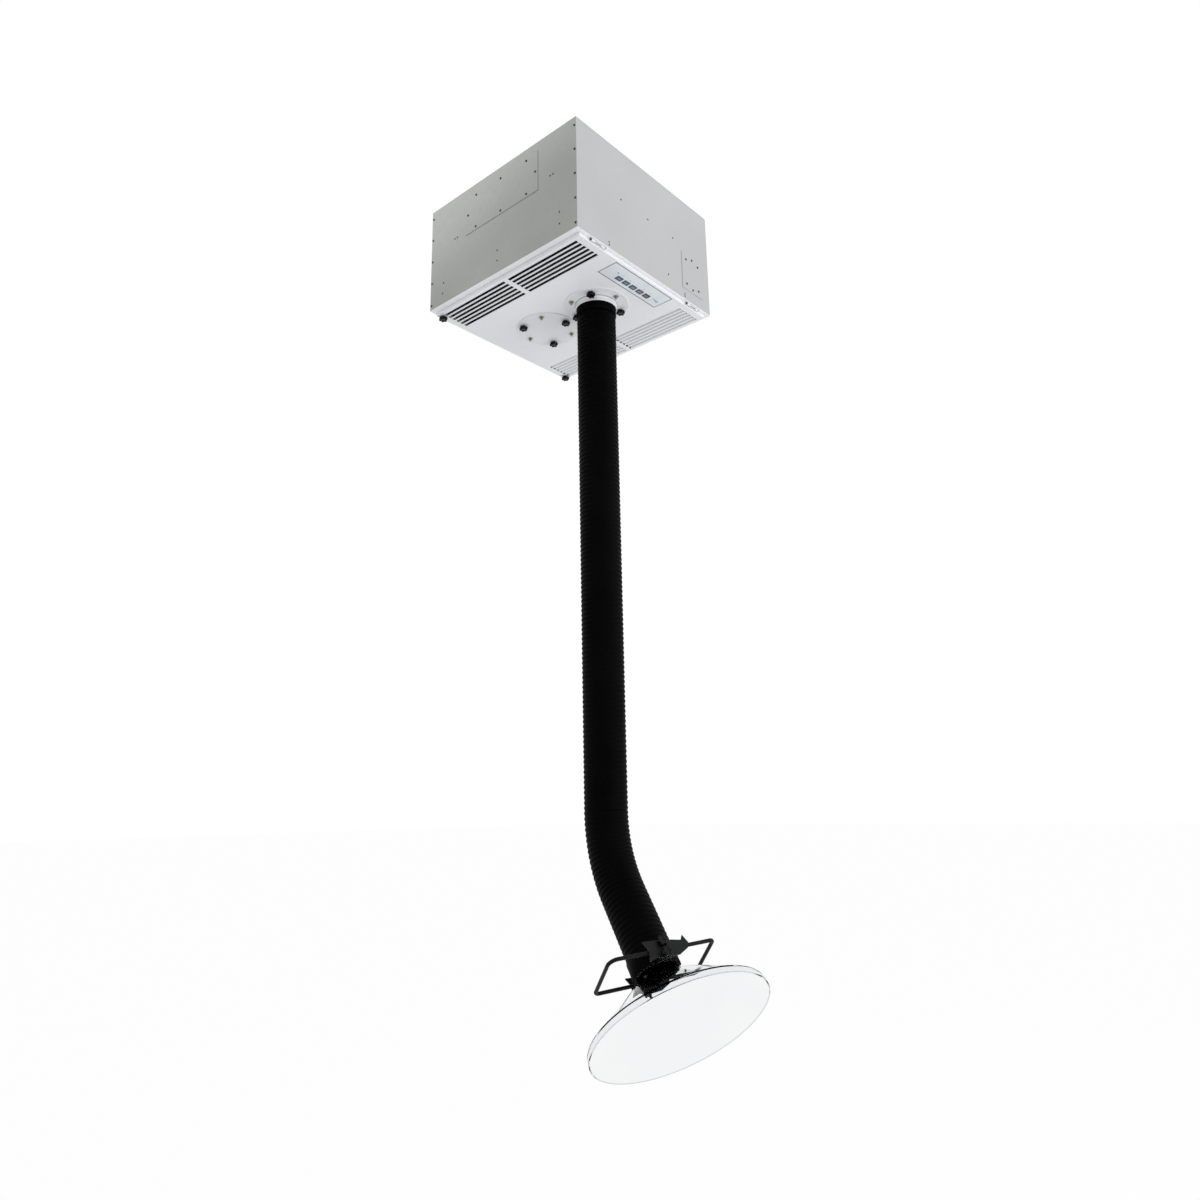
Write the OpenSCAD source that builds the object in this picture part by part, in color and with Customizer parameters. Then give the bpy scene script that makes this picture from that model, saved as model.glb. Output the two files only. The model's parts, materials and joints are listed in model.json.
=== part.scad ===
// Ceiling mounted fume extractor. The origin is the centre of the cabinet's top face, on the ceiling.

/* [Cabinet] */
// Width of the cabinet from left to right
cabinet_w = 600; // [570:1:700]
// Depth of the cabinet from front to rear
cabinet_d = 600; // [580:1:700]
// Height of the cabinet below the ceiling
cabinet_h = 338; // [330:1:400]
// Thickness of the side panels' sheet
panel_t = 1.2; // [1:0.1:1.5]
// Thickness of the top pan's sheet
pan_t = 1.5; // [1:0.1:2.5]
// Depth of the folded flanges and returns
flange_w = 18; // [14:1:22]
// Thickness of the bottom trim ring
trim_t = 2; // [1:0.5:3]
// Width of the bottom trim ring
trim_w = 24; // [20:1:26]
// Distance of the ceiling bolts from the cabinet's sides
bolt_inset = 50; // [45:5:60]
// Radius of the ceiling bolts' holes
bolt_hole_r = 5.5; // [4:0.5:7]

/* [Covers and screws] */
// Length of the access plate on the left panel
access_l = 300; // [280:1:330]
// Height of the access plate
access_h = 126; // [120:1:145]
// Place of the access plate's centre, towards the rear
access_y = -8; // [-20:1:20]
// Distance of the access plate's top edge below the ceiling
access_top = 28; // [22:1:32]
// Width of the terminal cover on the front panel
terminal_w = 102; // [96:1:106]
// Height of the terminal cover
terminal_h = 121; // [115:1:125]
// Distance of the terminal cover's centre from the cabinet's right side
terminal_side = 86; // [80:1:88]
// Distance of the terminal cover's top edge below the ceiling
terminal_top = 179; // [175:1:182]
// Radius of a panel screw's head
screw_head_r = 3.4; // [2.8:0.1:4]
// Radius of a panel screw's shank
screw_r = 1.5; // [1:0.1:1.7]
// Radius of a rivet's head
rivet_head_r = 2.6; // [2.2:0.1:3]
// Bore radius of the bush for the power cable
bush_r = 8; // [6:0.5:9]

/* [Filters and fan] */
// Width of the filters
filter_w = 332; // [320:1:334]
// Depth of the filters
filter_d = 380; // [360:1:384]
// Height of the prefilter
prefilter_h = 20; // [15:1:22]
// Height of the fine dust filter
hepa_h = 68; // [60:1:70]
// Height of the carbon filter
carbon_h = 38; // [30:1:40]
// Height of the fan space below the ceiling
fan_space_h = 148; // [146:1:152]
// Radius of the impeller
impeller_r = 92; // [85:1:95]
// Radius of the air inlet in the fan deck
eye_r = 72; // [66:1:74]

/* [Door] */
// Distance of the bottom door's front and rear edges inside the cabinet's faces
door_inset = 9; // [7:1:12]
// Distance of the bottom door's left and right edges inside the cabinet's sides
side_inset = 18; // [16:1:19]
// Height by which the door stands out below the trim
door_drop = 12; // [10:1:16]
// Thickness of the door's sheet
door_t = 1.5; // [1:0.1:1.8]
// Number of louvres in a group
louvre_count = 6; // [4:1:8]
// Angle by which a louvre's blade is bent inwards
louvre_angle = 48; // [35:1:55]
// Radius of a hinge knuckle
knuckle_r = 3.2; // [2.8:0.1:3.4]
// Radius of a hinge pin
pin_r = 1.5; // [1.2:0.1:1.8]

/* [Inlets] */
// Distance of each inlet's axis from the door's centre
inlet_y = 100; // [98:1:104]
// Radius of the inlet plates
plate_r = 96; // [94:1:97]
// Thickness of the inlet plates
plate_t = 3; // [2:0.5:4]
// Radius of the circle that the knobs and nuts sit on
fixing_r = 77; // [76:1:79]
// Radius of the collar's flange
collar_r = 62; // [60:0.5:63]
// Thickness of the collar's flange
collar_t = 8; // [6:1:10]
// Outer radius of the collar's spigots
spigot_r = 50.6; // [49:0.1:50.7]
// Bore radius of the collar
collar_bore_r = 48.5; // [46:0.1:48.5]

/* [Controls] */
// Width of the control overlay
overlay_w = 256; // [240:1:262]
// Depth of the control overlay
overlay_d = 70; // [62:1:72]
// Thickness of the control overlay
overlay_t = 0.8; // [0.4:0.1:1]
// Width of a key
key_w = 22.7; // [18:0.1:24]
// Depth of a key
key_d = 16.4; // [12:0.1:17]
// Distance from key to key
key_pitch = 30.5; // [29:0.1:31]
// Travel of a key
key_travel = 0.5; // [0.3:0.1:0.6]

/* [Hose] */
// Outer radius of the hose over its ribs
hose_r = 57; // [56:0.1:58]
// Radius of the hose between its ribs
valley_r = 53.6; // [53:0.1:54.5]
// Bore radius of the hose
hose_bore_r = 51; // [50.8:0.1:51.5]
// Distance from rib to rib
rib_pitch = 13; // [12:0.1:16]
// Length of the top cuff
top_cuff_l = 30; // [26:1:40]
// Length of the flexing stretch under the top cuff
top_flex_l = 240; // [200:1:260]
// Length of the long straight stretch
main_l = 1169; // [900:1:1200]
// Radius of the bend's centre line
bend_r = 306; // [280:1:340]
// Angle of the bend
bend_angle = 40.3; // [25:0.1:55]
// Direction in which the bend leans, seen from above
bend_turn = -108.1; // [-180:0.1:180]
// Length of the straight stretch between the bend and the bottom cuff
lower_l = 172; // [130:1:200]
// Length of the bottom cuff
bottom_cuff_l = 45; // [42:1:60]

/* [Hood] */
// Radius of the hood's rim
rim_r = 215; // [190:1:240]
// Height of the hood from the cuff's end to the rim
hood_h = 134; // [120:1:150]
// Height of the rim's upright lip
lip_h = 16; // [10:1:20]
// Wall of the hood
hood_t = 3; // [2:0.5:4]
// Outer radius of the hood's neck
neck_r = 50.5; // [49:0.1:50.7]

/* [Handle] */
// Length of the handle loop between its rods' centre lines
loop_l = 266; // [240:1:280]
// Width of the handle loop between its rods' centre lines
loop_w = 134; // [130:1:140]
// Radius of the handle's rod
rod_r = 4.5; // [4:0.1:5]
// Turn of the handle about the hose's axis, from the bend's plane
handle_turn = -98.6; // [-110:0.1:-80]
// Height of the handle above the cuff's end
handle_up = 18; // [17:0.5:20]

/* [Knobs] */
// Radius of a star knob over its lobes
knob_r = 13; // [11.5:0.1:13.4]
// Height of a star knob
knob_h = 13; // [10:1:16]
// Radius of a knob's stud
stud_r = 3; // [2.5:0.1:3.2]

/* [Hidden] */
$fn = 48;

// Overrun of every cut
cut = 1;
// Clearance between pieces that move or slip past each other
clear = 0.3;
// Clearance of a stud or shank in its hole, on the radius
hole_gap = 0.35;
// Running clearance of a shaft or hinge pin, on the radius
run_gap = 0.05;
// Gap between a knob and the face that it clamps
knob_gap = 0.2;

// Halves and levels of the cabinet
half_w = cabinet_w / 2;
half_d = cabinet_d / 2;
inner_w = half_w - panel_t;
inner_d = half_d - panel_t;
z_trim = -cabinet_h;
z_rim = z_trim + trim_t;
notch = panel_t + flange_w + clear;

// Screws along the panels' upright edges
edge_screws = 5;
edge_in = 5.4;
edge_top = 25;
edge_low = 16;
screw_head_t = 1.6;
screw_l = 5;
cover_edge = 10;
access_step = 105;
terminal_step_x = 30;
terminal_step_z = 41;
terminal_mid_z = 50.5;
rivet_head_t = 0.9;
rivet_r = 1.6;
rivet_l = 3;

// Rivets on the left panel: shares of the depth and of the height
left_rivet_shares = [[0.318, 0.417], [0.3, 0.417], [-0.34, 0.395], [-0.358, 0.395], [0.008, 0.785],
  [0.008, 0.882], [-0.395, 0.775], [-0.395, 0.88], [0.4, 0.79], [0.405, 0.89]];
// Rivets on the front panel: shares of the width and of the height
front_rivet_shares = [[-0.195, 0.463], [0.005, 0.463], [0.204, 0.463], [0.156, 0.861]];
// Rivets that hold the bulkheads: side, and share of the height
bulkhead_rivet_shares = [[-1, 0.941], [-1, 0.966], [1, 0.943], [1, 0.966]];

// Air guide walls round the filters
filter_side = 14;
filter_end = 15;
bulkhead_x = filter_w / 2 + filter_side;
cross_y = filter_d / 2 + filter_end;
rim_w = 10;
deck_t = 2;
z_deck = -fan_space_h;
z_stack = z_deck - deck_t;
z_carbon = z_stack - carbon_h;
z_hepa = z_carbon - hepa_h;
z_pre = z_hepa - prefilter_h;
clip_l = 24;
clip_w = 22;
clip_t = 1.5;
clip_y_share = 0.5;
filter_border = 18;
pleat_h = 5;
pleats = 9;

// Fan
scroll_gap = 8;
scroll_growth = 48;
scroll_t = 1.5;
scroll_top = 64;
scroll_step = 10;
bell_h = 8;
bell_t = 2;
blade_count = 11;
blade_l = 34;
blade_t = 1.5;
blade_lean = 52;
fan_plate_t = 2;
hub_t = 3;
hub_h = 10;
rotor_r = 46;
rotor_t = 8;
rotor_h = 45;
rotor_floor = 3;
shaft_r = 6;
stator_r = 34;
stator_flange_r = 60;
stator_flange_t = 4;
cup_gap = 1;

// Ceiling mounting channels
channel_w = 40;
channel_h = 28;
channel_t = 2;

// Terminal box
terminal_box_w = 72;
terminal_box_h = 114;
terminal_box_d = 60;
terminal_open_w = 44;
terminal_open_h = 70;
pole_count = 6;
pole_r = 3;
block_d = 18;
block_h = 22;

// Cable bush
bush_side = 100;
bush_x = half_w - bush_side;
bush_z = 60;
bush_wall = 3.8;
bush_flange = 2.2;
bush_out = 3;
bush_l = 14;

// Door and louvres
door_gap = 0.6;
z_door = z_trim - door_drop;
z_skin = z_door + door_t;
half_door = half_w - side_inset;
half_door_d = half_d - door_inset;
louvre_end = 21;
louvre_edge = 10;
louvre_inner = 3;
louvre_mid = 8;
louvre_open_share = 0.67;
blade_short = 4;
louvre_out = half_door - louvre_edge;
louvre_in = bulkhead_x + louvre_inner;
louvre_pitch = (louvre_out - louvre_in) / (louvre_count - 1 + louvre_open_share);
louvre_open = louvre_pitch * louvre_open_share;
louvre_long = half_door_d - louvre_end;
weld_nut_r = 6;
weld_nut_h = 6;
latch_side = 14;
latch_rear = 14;
latch_x = half_door - latch_side;
latch_y = half_door_d - latch_rear;
latch_tab = 15;
gasket_w = 10;

// Hinges
hinge_side = 68;
hinge_x = half_door - hinge_side;
hinge_in = 4.5;
hinge_drop = 4.6;
hinge_y = half_d - hinge_in;
hinge_z = z_trim - hinge_drop;
knuckle_door_l = 28;
knuckle_cabinet_l = 12.6;
knuckle_gap = 0.4;
leaf_t = 1;

// Control panel
overlay_edge = 4;
overlay_front = half_door_d - overlay_edge;
board_t = 1.6;
board_w = 220;
board_d = 44;
board_gap = 7;
pillar_r = 3;
switch_w = 6;
key_out = 1.2;
key_lip = 1.4;
key_lip_t = 1.2;
key_seat = 0.3;
key_edge = 50.8;
key_y = key_edge - half_door_d;
led_x = -83.2;
led_edge = 34.9;
led_y = led_edge - half_door_d;
led_r = 2;

// Nuts on the inlet plates
washer_r = 9;
washer_t = 1;
nut_r = 5;
nut_h = 4.5;
nut_stud_r = 2.5;
nut_tip = 2;

// Knob lobes
lobes = 6;
lobe_step = 6;
lobe_depth = 3.6;
knob_foot_r = 6;
knob_foot_h = 3;

// Hose levels and its lower arm
hose_sides = 8;
cuff_r = 58.5;
bottom_cuff_r = 59;
cuff_bore_r = 51;
z_collar = z_door - plate_t - collar_t;
z_cuff = z_collar - clear;
z_flex = z_cuff - top_cuff_l;
z_main = z_flex - top_flex_l;
z_bend = z_main - main_l;
arm_l = lower_l + bottom_cuff_l;

// Hood
neck_in = 35;
neck_out = 8;
flare_w = 8;
flare_h = 7;
lip_flare = 2;
hood_screw_at = 62.5;
hood_screw_turn = 57;
hood_nut_r = 3;
hood_nut_t = 1.5;

// Handle
corner_r = 20;
tight_r = 10;
groove_gap = 0.1;
saddle_gap = 1.5;
saddle_w = 44;
saddle_h = 42;
saddle_low = 2;
clamp_t = 3;
clamp_l = 110;
clamp_h = 48;
clamp_shift = -10;
clamp_knob_up = 13.5;
stud_wall = 2;
// Outline of a clamp plate: shares of its length and of its height
clamp_shares = [[-0.5, 0.05], [-0.43, 0.48], [-0.36, 0.24], [-0.16, 0.34], [0.1, 0.44], [0.5, 0.5],
  [0.44, 0.16], [0.44, -0.16], [0.5, -0.5], [0.3, -0.38], [0.1, -0.5], [-0.22, -0.44], [-0.44, -0.2]];

// A box between two corners
module span_box(low, high) {
  translate(low)
    cube(high - low);
}

// A plain ring round the z axis, from one level up to another
module ring(inner, outer, low, high) {
  difference() {
    translate([0, 0, low])
      cylinder(r = outer, h = high - low);
    translate([0, 0, low - cut])
      cylinder(r = inner, h = high - low + 2 * cut);
  }
}

// A star knob hangs down from z = 0 and its stud stands up from there
module star_knob(stud_l) {
  translate([0, 0, -knob_h])
    linear_extrude(knob_h - knob_foot_h)
      polygon([for (a = [0:lobe_step:359])
        (knob_r - lobe_depth * (1 - cos(lobes * a)) / 2) * [cos(a), sin(a)]]);
  translate([0, 0, -knob_h / 2])
    cylinder(r = knob_foot_r, h = knob_h / 2);
  translate([0, 0, -knob_h / 3])
    cylinder(r = stud_r, h = knob_h / 3 + stud_l);
}

// Places on the outer faces of the panels, with z pointing out of the face
module on_left(y, z) {
  translate([-half_w, y, z])
    rotate([0, -90, 0])
      children();
}

module on_right(y, z) {
  translate([half_w, y, z])
    rotate([0, 90, 0])
      children();
}

module on_front(x, z) {
  translate([x, -half_d, z])
    rotate([90, 0, 0])
      children();
}

edge_step = (cabinet_h - edge_top - edge_low) / (edge_screws - 1);
edge_places = [for (s = [-1, 1], i = [0:edge_screws - 1])
  [s * (half_d - edge_in), -edge_top - i * edge_step]];
access_z = -access_top - access_h / 2;
access_dx = access_l / 2 - cover_edge;
access_dz = access_h / 2 - cover_edge;
access_places = [for (p = [[-access_dx, 0], [access_dx, 0], [-access_step, access_dz], [0, access_dz],
  [access_step, access_dz], [-access_step, -access_dz], [0, -access_dz], [access_step, -access_dz]])
  [access_y + p[0], access_z + p[1]]];
terminal_x = half_w - terminal_side;
terminal_z = -terminal_top - terminal_h / 2;
terminal_places = [for (s = [-1, 1]) each [
  [terminal_x - terminal_step_x, terminal_z + s * terminal_step_z],
  [terminal_x, terminal_z + s * terminal_mid_z],
  [terminal_x + terminal_step_x, terminal_z + s * terminal_step_z]]];
left_rivets = [for (p = left_rivet_shares) [p[0] * cabinet_d, -p[1] * cabinet_h]];
bulkhead_rivets = [for (p = bulkhead_rivet_shares)
  [p[0] * (bulkhead_x - filter_end / 2), -p[1] * cabinet_h]];
sheet_rivets = [for (p = front_rivet_shares) [p[0] * cabinet_w, -p[1] * cabinet_h]];
front_rivets = concat(sheet_rivets, bulkhead_rivets);

// A hole for a screw or rivet through the sheets at a face
module sheet_hole(r) {
  drill_l = 2 * (panel_t + screw_l);
  translate([0, 0, -drill_l / 2])
    cylinder(r = r + hole_gap / 2, h = drill_l);
}

module top_pan() color("silver") {
  difference() {
    union() {
      span_box([-half_w, -half_d, -pan_t], [half_w, half_d, 0]);
      for (s = [0, 1])
        mirror([s, 0, 0])
          span_box([-inner_w, notch - half_d, -pan_t - flange_w], [-inner_w + pan_t, half_d - notch, 0]);
      for (s = [0, 1])
        mirror([0, s, 0])
          span_box([notch - half_w, -inner_d, -pan_t - flange_w], [half_w - notch, -inner_d + pan_t, 0]);
    }
    ceiling_bolts(bolt_hole_r, -pan_t - cut, cut);
  }
}

// The four ceiling bolts, or their holes, from one level up to another
module ceiling_bolts(r, low, high) {
  for (x = [-1, 1], y = [-1, 1])
    translate([x * (half_w - bolt_inset), y * (half_d - bolt_inset), low])
      cylinder(r = r, h = high - low);
}

module side_sheet() {
  difference() {
    span_box([-half_w, -half_d, z_rim], [-inner_w, half_d, -pan_t]);
    for (p = edge_places)
      on_left(p[0], p[1])
        sheet_hole(screw_r);
  }
}

module left_panel() color("darkseagreen") {
  border = 2 * cover_edge;
  difference() {
    side_sheet();
    for (p = access_places)
      on_left(p[0], p[1])
        sheet_hole(screw_r);
    for (p = left_rivets)
      on_left(p[0], p[1])
        sheet_hole(rivet_r);
    span_box([-half_w - cut, access_y - access_l / 2 + border, access_z - access_h / 2 + border],
      [-inner_w + cut, access_y + access_l / 2 - border, access_z + access_h / 2 - border]);
  }
}

module right_panel() color("darkseagreen") {
  mirror([1, 0, 0])
    side_sheet();
}

// Front or rear sheet with the side returns that the side panels screw to
module end_sheet() {
  difference() {
    union() {
      span_box([-inner_w, -half_d, z_rim], [inner_w, -inner_d, -pan_t]);
      for (s = [0, 1])
        mirror([s, 0, 0])
          span_box([-inner_w, -half_d, z_rim], [-inner_w + panel_t, -inner_d + flange_w, -pan_t]);
    }
    for (p = edge_places)
      on_left(p[0], p[1])
        sheet_hole(screw_r);
    for (p = edge_places)
      on_right(p[0], p[1])
        sheet_hole(screw_r);
  }
}

module front_panel() color("lightgray") {
  difference() {
    end_sheet();
    for (p = terminal_places)
      on_front(p[0], p[1])
        sheet_hole(screw_r);
    for (p = front_rivets)
      on_front(p[0], p[1])
        sheet_hole(rivet_r);
    span_box([terminal_x - terminal_open_w / 2, -half_d - cut, terminal_z - terminal_open_h / 2],
      [terminal_x + terminal_open_w / 2, -inner_d + cut, terminal_z + terminal_open_h / 2]);
  }
}

module rear_panel() color("lightgray") {
  difference() {
    mirror([0, 1, 0])
      end_sheet();
    translate([bush_x, inner_d - cut, -bush_z])
      rotate([-90, 0, 0])
        cylinder(r = bush_r + bush_wall + hole_gap, h = panel_t + 2 * cut);
  }
}

module base_frame() color("whitesmoke") {
  ring_in = half_w - trim_w;
  ring_in_y = half_d - trim_w;
  tie = bulkhead_x - filter_end - clear;
  difference() {
    union() {
      difference() {
        span_box([-half_w, -half_d, z_trim], [half_w, half_d, z_rim]);
        span_box([-ring_in, -ring_in_y, z_trim - cut], [ring_in, ring_in_y, z_rim + cut]);
      }
      for (s = [0, 1])
        mirror([s, 0, 0]) {
          span_box([-inner_w, notch - half_d, z_trim],
            [-inner_w + panel_t, half_d - notch, z_rim + flange_w]);
          span_box([-latch_x - latch_tab / 2, latch_y - latch_tab, z_trim],
            [-latch_x + latch_tab / 2, latch_y, z_rim]);
          translate([-latch_x, latch_y, z_trim])
            cylinder(r = weld_nut_r, h = trim_t + weld_nut_h);
        }
      for (s = [0, 1])
        mirror([0, s, 0])
          span_box([-tie, -inner_d, z_trim], [tie, -inner_d + panel_t, z_rim + flange_w]);
    }
    for (s = [-1, 1])
      translate([s * latch_x, latch_y, z_trim - cut])
        cylinder(r = stud_r + hole_gap, h = trim_t + weld_nut_h + 2 * cut);
  }
}

module mounting_channels() color("gainsboro") {
  long = inner_d - pan_t - clear;
  difference() {
    for (s = [-1, 1])
      translate([s * (half_w - bolt_inset), 0, -pan_t - channel_h])
        difference() {
          span_box([-channel_w / 2, -long, 0], [channel_w / 2, long, channel_h]);
          span_box([channel_t - channel_w / 2, -long - cut, -cut],
            [channel_w / 2 - channel_t, long + cut, channel_h - channel_t]);
        }
    ceiling_bolts(bolt_hole_r, -pan_t - channel_t - cut, cut);
  }
}

module access_plate() color("darkseagreen") {
  difference() {
    span_box([-half_w - panel_t, access_y - access_l / 2, access_z - access_h / 2],
      [-half_w, access_y + access_l / 2, access_z + access_h / 2]);
    for (p = access_places)
      on_left(p[0], p[1])
        sheet_hole(screw_r);
  }
}

module terminal_cover() color("lightgray") {
  difference() {
    span_box([terminal_x - terminal_w / 2, -half_d - panel_t, terminal_z - terminal_h / 2],
      [terminal_x + terminal_w / 2, -half_d, terminal_z + terminal_h / 2]);
    for (p = terminal_places)
      on_front(p[0], p[1])
        sheet_hole(screw_r);
  }
}

// A pan head screw whose head stands on the face, above a sheet of thickness lift
module screw(lift) {
  translate([0, 0, lift])
    cylinder(r = screw_head_r, h = screw_head_t);
  translate([0, 0, lift - screw_l])
    cylinder(r = screw_r, h = screw_l);
}

module panel_screws() color("dimgray") {
  for (p = edge_places) {
    on_left(p[0], p[1])
      screw(0);
    on_right(p[0], p[1])
      screw(0);
  }
  for (p = access_places)
    on_left(p[0], p[1])
      screw(panel_t);
  for (p = terminal_places)
    on_front(p[0], p[1])
      screw(panel_t);
}

module rivet() {
  cylinder(r = rivet_head_r, h = rivet_head_t);
  translate([0, 0, -rivet_l])
    cylinder(r = rivet_r, h = rivet_l);
}

module rivets() color("gray") {
  for (p = left_rivets)
    on_left(p[0], p[1])
      rivet();
  for (p = front_rivets)
    on_front(p[0], p[1])
      rivet();
}

module conduit_bush() color("dimgray") {
  neck = bush_r + bush_wall;
  wide = neck + bush_flange;
  // The outer flange lies on the rear panel and the lock nut on its inside
  translate([bush_x, half_d, -bush_z])
    rotate([-90, 0, 0])
      difference() {
        union() {
          cylinder(r = wide, h = bush_out);
          translate([0, 0, bush_out - bush_l])
            cylinder(r = neck, h = bush_l);
          translate([0, 0, bush_out - bush_l])
            cylinder(r = wide, h = bush_l - bush_out - panel_t);
        }
        translate([0, 0, bush_out - bush_l - cut])
          cylinder(r = bush_r, h = bush_l + 2 * cut);
      }
}

module filter_housing() color("lightsteelblue") {
  difference() {
    union() {
      for (s = [0, 1])
        mirror([s, 0, 0]) {
          span_box([-bulkhead_x, -inner_d, z_rim], [panel_t - bulkhead_x, inner_d, z_stack]);
          for (e = [0, 1])
            mirror([0, e, 0])
              span_box([-bulkhead_x, -inner_d, z_rim],
                [filter_end - bulkhead_x, panel_t - inner_d, z_stack]);
          span_box([-bulkhead_x, -cross_y, z_rim], [rim_w - bulkhead_x, cross_y, z_rim + panel_t]);
        }
      for (e = [0, 1])
        mirror([0, e, 0]) {
          span_box([-bulkhead_x, -cross_y, z_rim], [bulkhead_x, panel_t - cross_y, z_stack]);
          span_box([-bulkhead_x, -cross_y, z_rim], [bulkhead_x, rim_w - cross_y, z_rim + panel_t]);
        }
    }
    for (p = bulkhead_rivets)
      on_front(p[0], p[1])
        sheet_hole(rivet_r);
  }
}

module blower_deck() color("silver") {
  difference() {
    span_box([-bulkhead_x, -cross_y, z_stack], [bulkhead_x, cross_y, z_deck]);
    translate([0, 0, z_stack - cut])
      cylinder(r = eye_r, h = deck_t + 2 * cut);
  }
  ring(eye_r, eye_r + bell_t, z_stack, z_deck + bell_h);
}

// A filter with a plain border and pleats on its underside
module filter(low, high) {
  media_w = filter_w - 2 * filter_border;
  pleat_w = media_w / pleats;
  difference() {
    span_box([-filter_w / 2, -filter_d / 2, low], [filter_w / 2, filter_d / 2, high]);
    for (i = [0:pleats - 1])
      translate([(i + 0.5) * pleat_w - media_w / 2, filter_d / 2 - filter_border, low])
        rotate([90, 0, 0])
          linear_extrude(filter_d - 2 * filter_border)
            polygon([[-pleat_w / 2, -cut], [-pleat_w / 2, 0], [0, pleat_h],
              [pleat_w / 2, 0], [pleat_w / 2, -cut]]);
  }
}

module prefilter() color("white") filter(z_pre, z_hepa);

module hepa_filter() color("ivory") filter(z_hepa, z_carbon);

module carbon_filter() color("darkslategray") filter(z_carbon, z_stack);

module filter_clips() color("gray") {
  for (x = [0, 1], y = [-1, 1])
    mirror([x, 0, 0])
      translate([panel_t - bulkhead_x, y * clip_y_share * filter_d / 2, z_pre]) {
        span_box([0, -clip_l / 2, -clip_t], [clip_w, clip_l / 2, 0]);
        span_box([0, -clip_l / 2, -clip_w], [clip_t, clip_l / 2, 0]);
      }
}

z_scroll = -scroll_top - fan_plate_t;
scroll_start = impeller_r + scroll_gap;
function scroll_point(a, wall) = (scroll_start + scroll_growth * a / 360 + wall) * [cos(a), sin(a)];
scroll_angles = [for (a = [0:scroll_step:360]) a];

module blower_housing() color("silver") {
  // Spiral wall, open between its start and its end
  translate([0, 0, z_deck])
    linear_extrude(z_scroll - z_deck)
      polygon(concat([for (a = scroll_angles) scroll_point(a, scroll_t)],
        [for (i = [len(scroll_angles) - 1:-1:0]) scroll_point(scroll_angles[i], 0)]));
  difference() {
    translate([0, 0, z_scroll])
      linear_extrude(fan_plate_t)
        polygon([for (a = scroll_angles) scroll_point(a, scroll_t)]);
    translate([0, 0, z_scroll - cut])
      cylinder(r = stator_r + scroll_gap, h = fan_plate_t + 2 * cut);
  }
}

z_cup = z_scroll - cup_gap;
z_cup_floor = z_cup - rotor_h;

module motor_stator() color("darkslategray") {
  difference() {
    union() {
      translate([0, 0, -scroll_top])
        cylinder(r = stator_flange_r, h = stator_flange_t);
      translate([0, 0, z_cup_floor + 2 * rotor_floor])
        cylinder(r = stator_r, h = -scroll_top - z_cup_floor - 2 * rotor_floor);
    }
    translate([0, 0, z_cup_floor])
      cylinder(r = shaft_r + run_gap, h = -z_cup_floor);
  }
}

module motor_rotor() color("black") {
  difference() {
    translate([0, 0, z_cup_floor])
      cylinder(r = rotor_r, h = rotor_h);
    translate([0, 0, z_cup_floor + rotor_floor])
      cylinder(r = rotor_r - rotor_t, h = rotor_h);
  }
  translate([0, 0, z_cup_floor])
    cylinder(r = shaft_r, h = -scroll_top + stator_flange_t - cup_gap - z_cup_floor);
}

module impeller() color("dodgerblue") {
  top = z_scroll - 2 * fan_plate_t;
  low = z_deck + bell_h + 2 * fan_plate_t;
  eye = eye_r + 2 * bell_t;
  ring(rotor_r + run_gap, impeller_r, top - fan_plate_t, top);
  ring(rotor_r + run_gap, rotor_r + hub_t, top - hub_h, top);
  ring(eye, impeller_r, low, low + fan_plate_t);
  intersection() {
    ring(rotor_r + 2 * hub_t, impeller_r, low, top);
    for (i = [0:blade_count - 1])
      rotate([0, 0, i * 360 / blade_count])
        translate([(eye + rotor_r) / 2 + blade_l / 2, 0, low])
          rotate([0, 0, blade_lean])
            span_box([-blade_l, -blade_t / 2, 0], [blade_l, blade_t / 2, top - low]);
  }
}

module terminal_block() color("dimgray") {
  half_box = terminal_box_w / 2;
  pole_pitch = terminal_box_w / (pole_count + 1);
  // The box stands beside the air guide's right wall
  translate([bulkhead_x + clear + half_box, -inner_d, terminal_z]) {
    difference() {
      span_box([-half_box, 0, -terminal_box_h / 2], [half_box, terminal_box_d, terminal_box_h / 2]);
      span_box([panel_t - half_box, -cut, panel_t - terminal_box_h / 2],
        [half_box - panel_t, terminal_box_d - panel_t, terminal_box_h / 2 - panel_t]);
    }
    span_box([-half_box, terminal_box_d - block_d, -block_h / 2], [half_box, terminal_box_d, block_h / 2]);
    for (i = [1:pole_count])
      translate([i * pole_pitch - half_box, terminal_box_d - block_d, 0])
        rotate([90, 0, 0])
          cylinder(r = pole_r, h = pole_r);
  }
}

hinge_l = knuckle_door_l + 2 * (knuckle_gap + knuckle_cabinet_l);

// A round bar along x about the hinge axis, between two places along it
module hinge_bar(r, from, to) {
  translate([from, -hinge_y, hinge_z])
    rotate([0, 90, 0])
      cylinder(r = r, h = to - from);
}

module hinge_leaves_cabinet() color("silver") {
  front_gap = half_door_d + leaf_t + clear;
  for (s = [-1, 1])
    translate([s * hinge_x, 0, 0]) {
      hinge_bar(pin_r, -hinge_l / 2, hinge_l / 2);
      span_box([-hinge_l / 2, -half_d, z_trim - leaf_t], [hinge_l / 2, -front_gap, z_trim]);
      for (e = [0, 1])
        mirror([e, 0, 0]) {
          hinge_bar(knuckle_r, -hinge_l / 2, knuckle_cabinet_l - hinge_l / 2);
          span_box([-hinge_l / 2, -hinge_y - leaf_t, hinge_z],
            [knuckle_cabinet_l - hinge_l / 2, -hinge_y + leaf_t, z_trim - leaf_t]);
        }
    }
}

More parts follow.
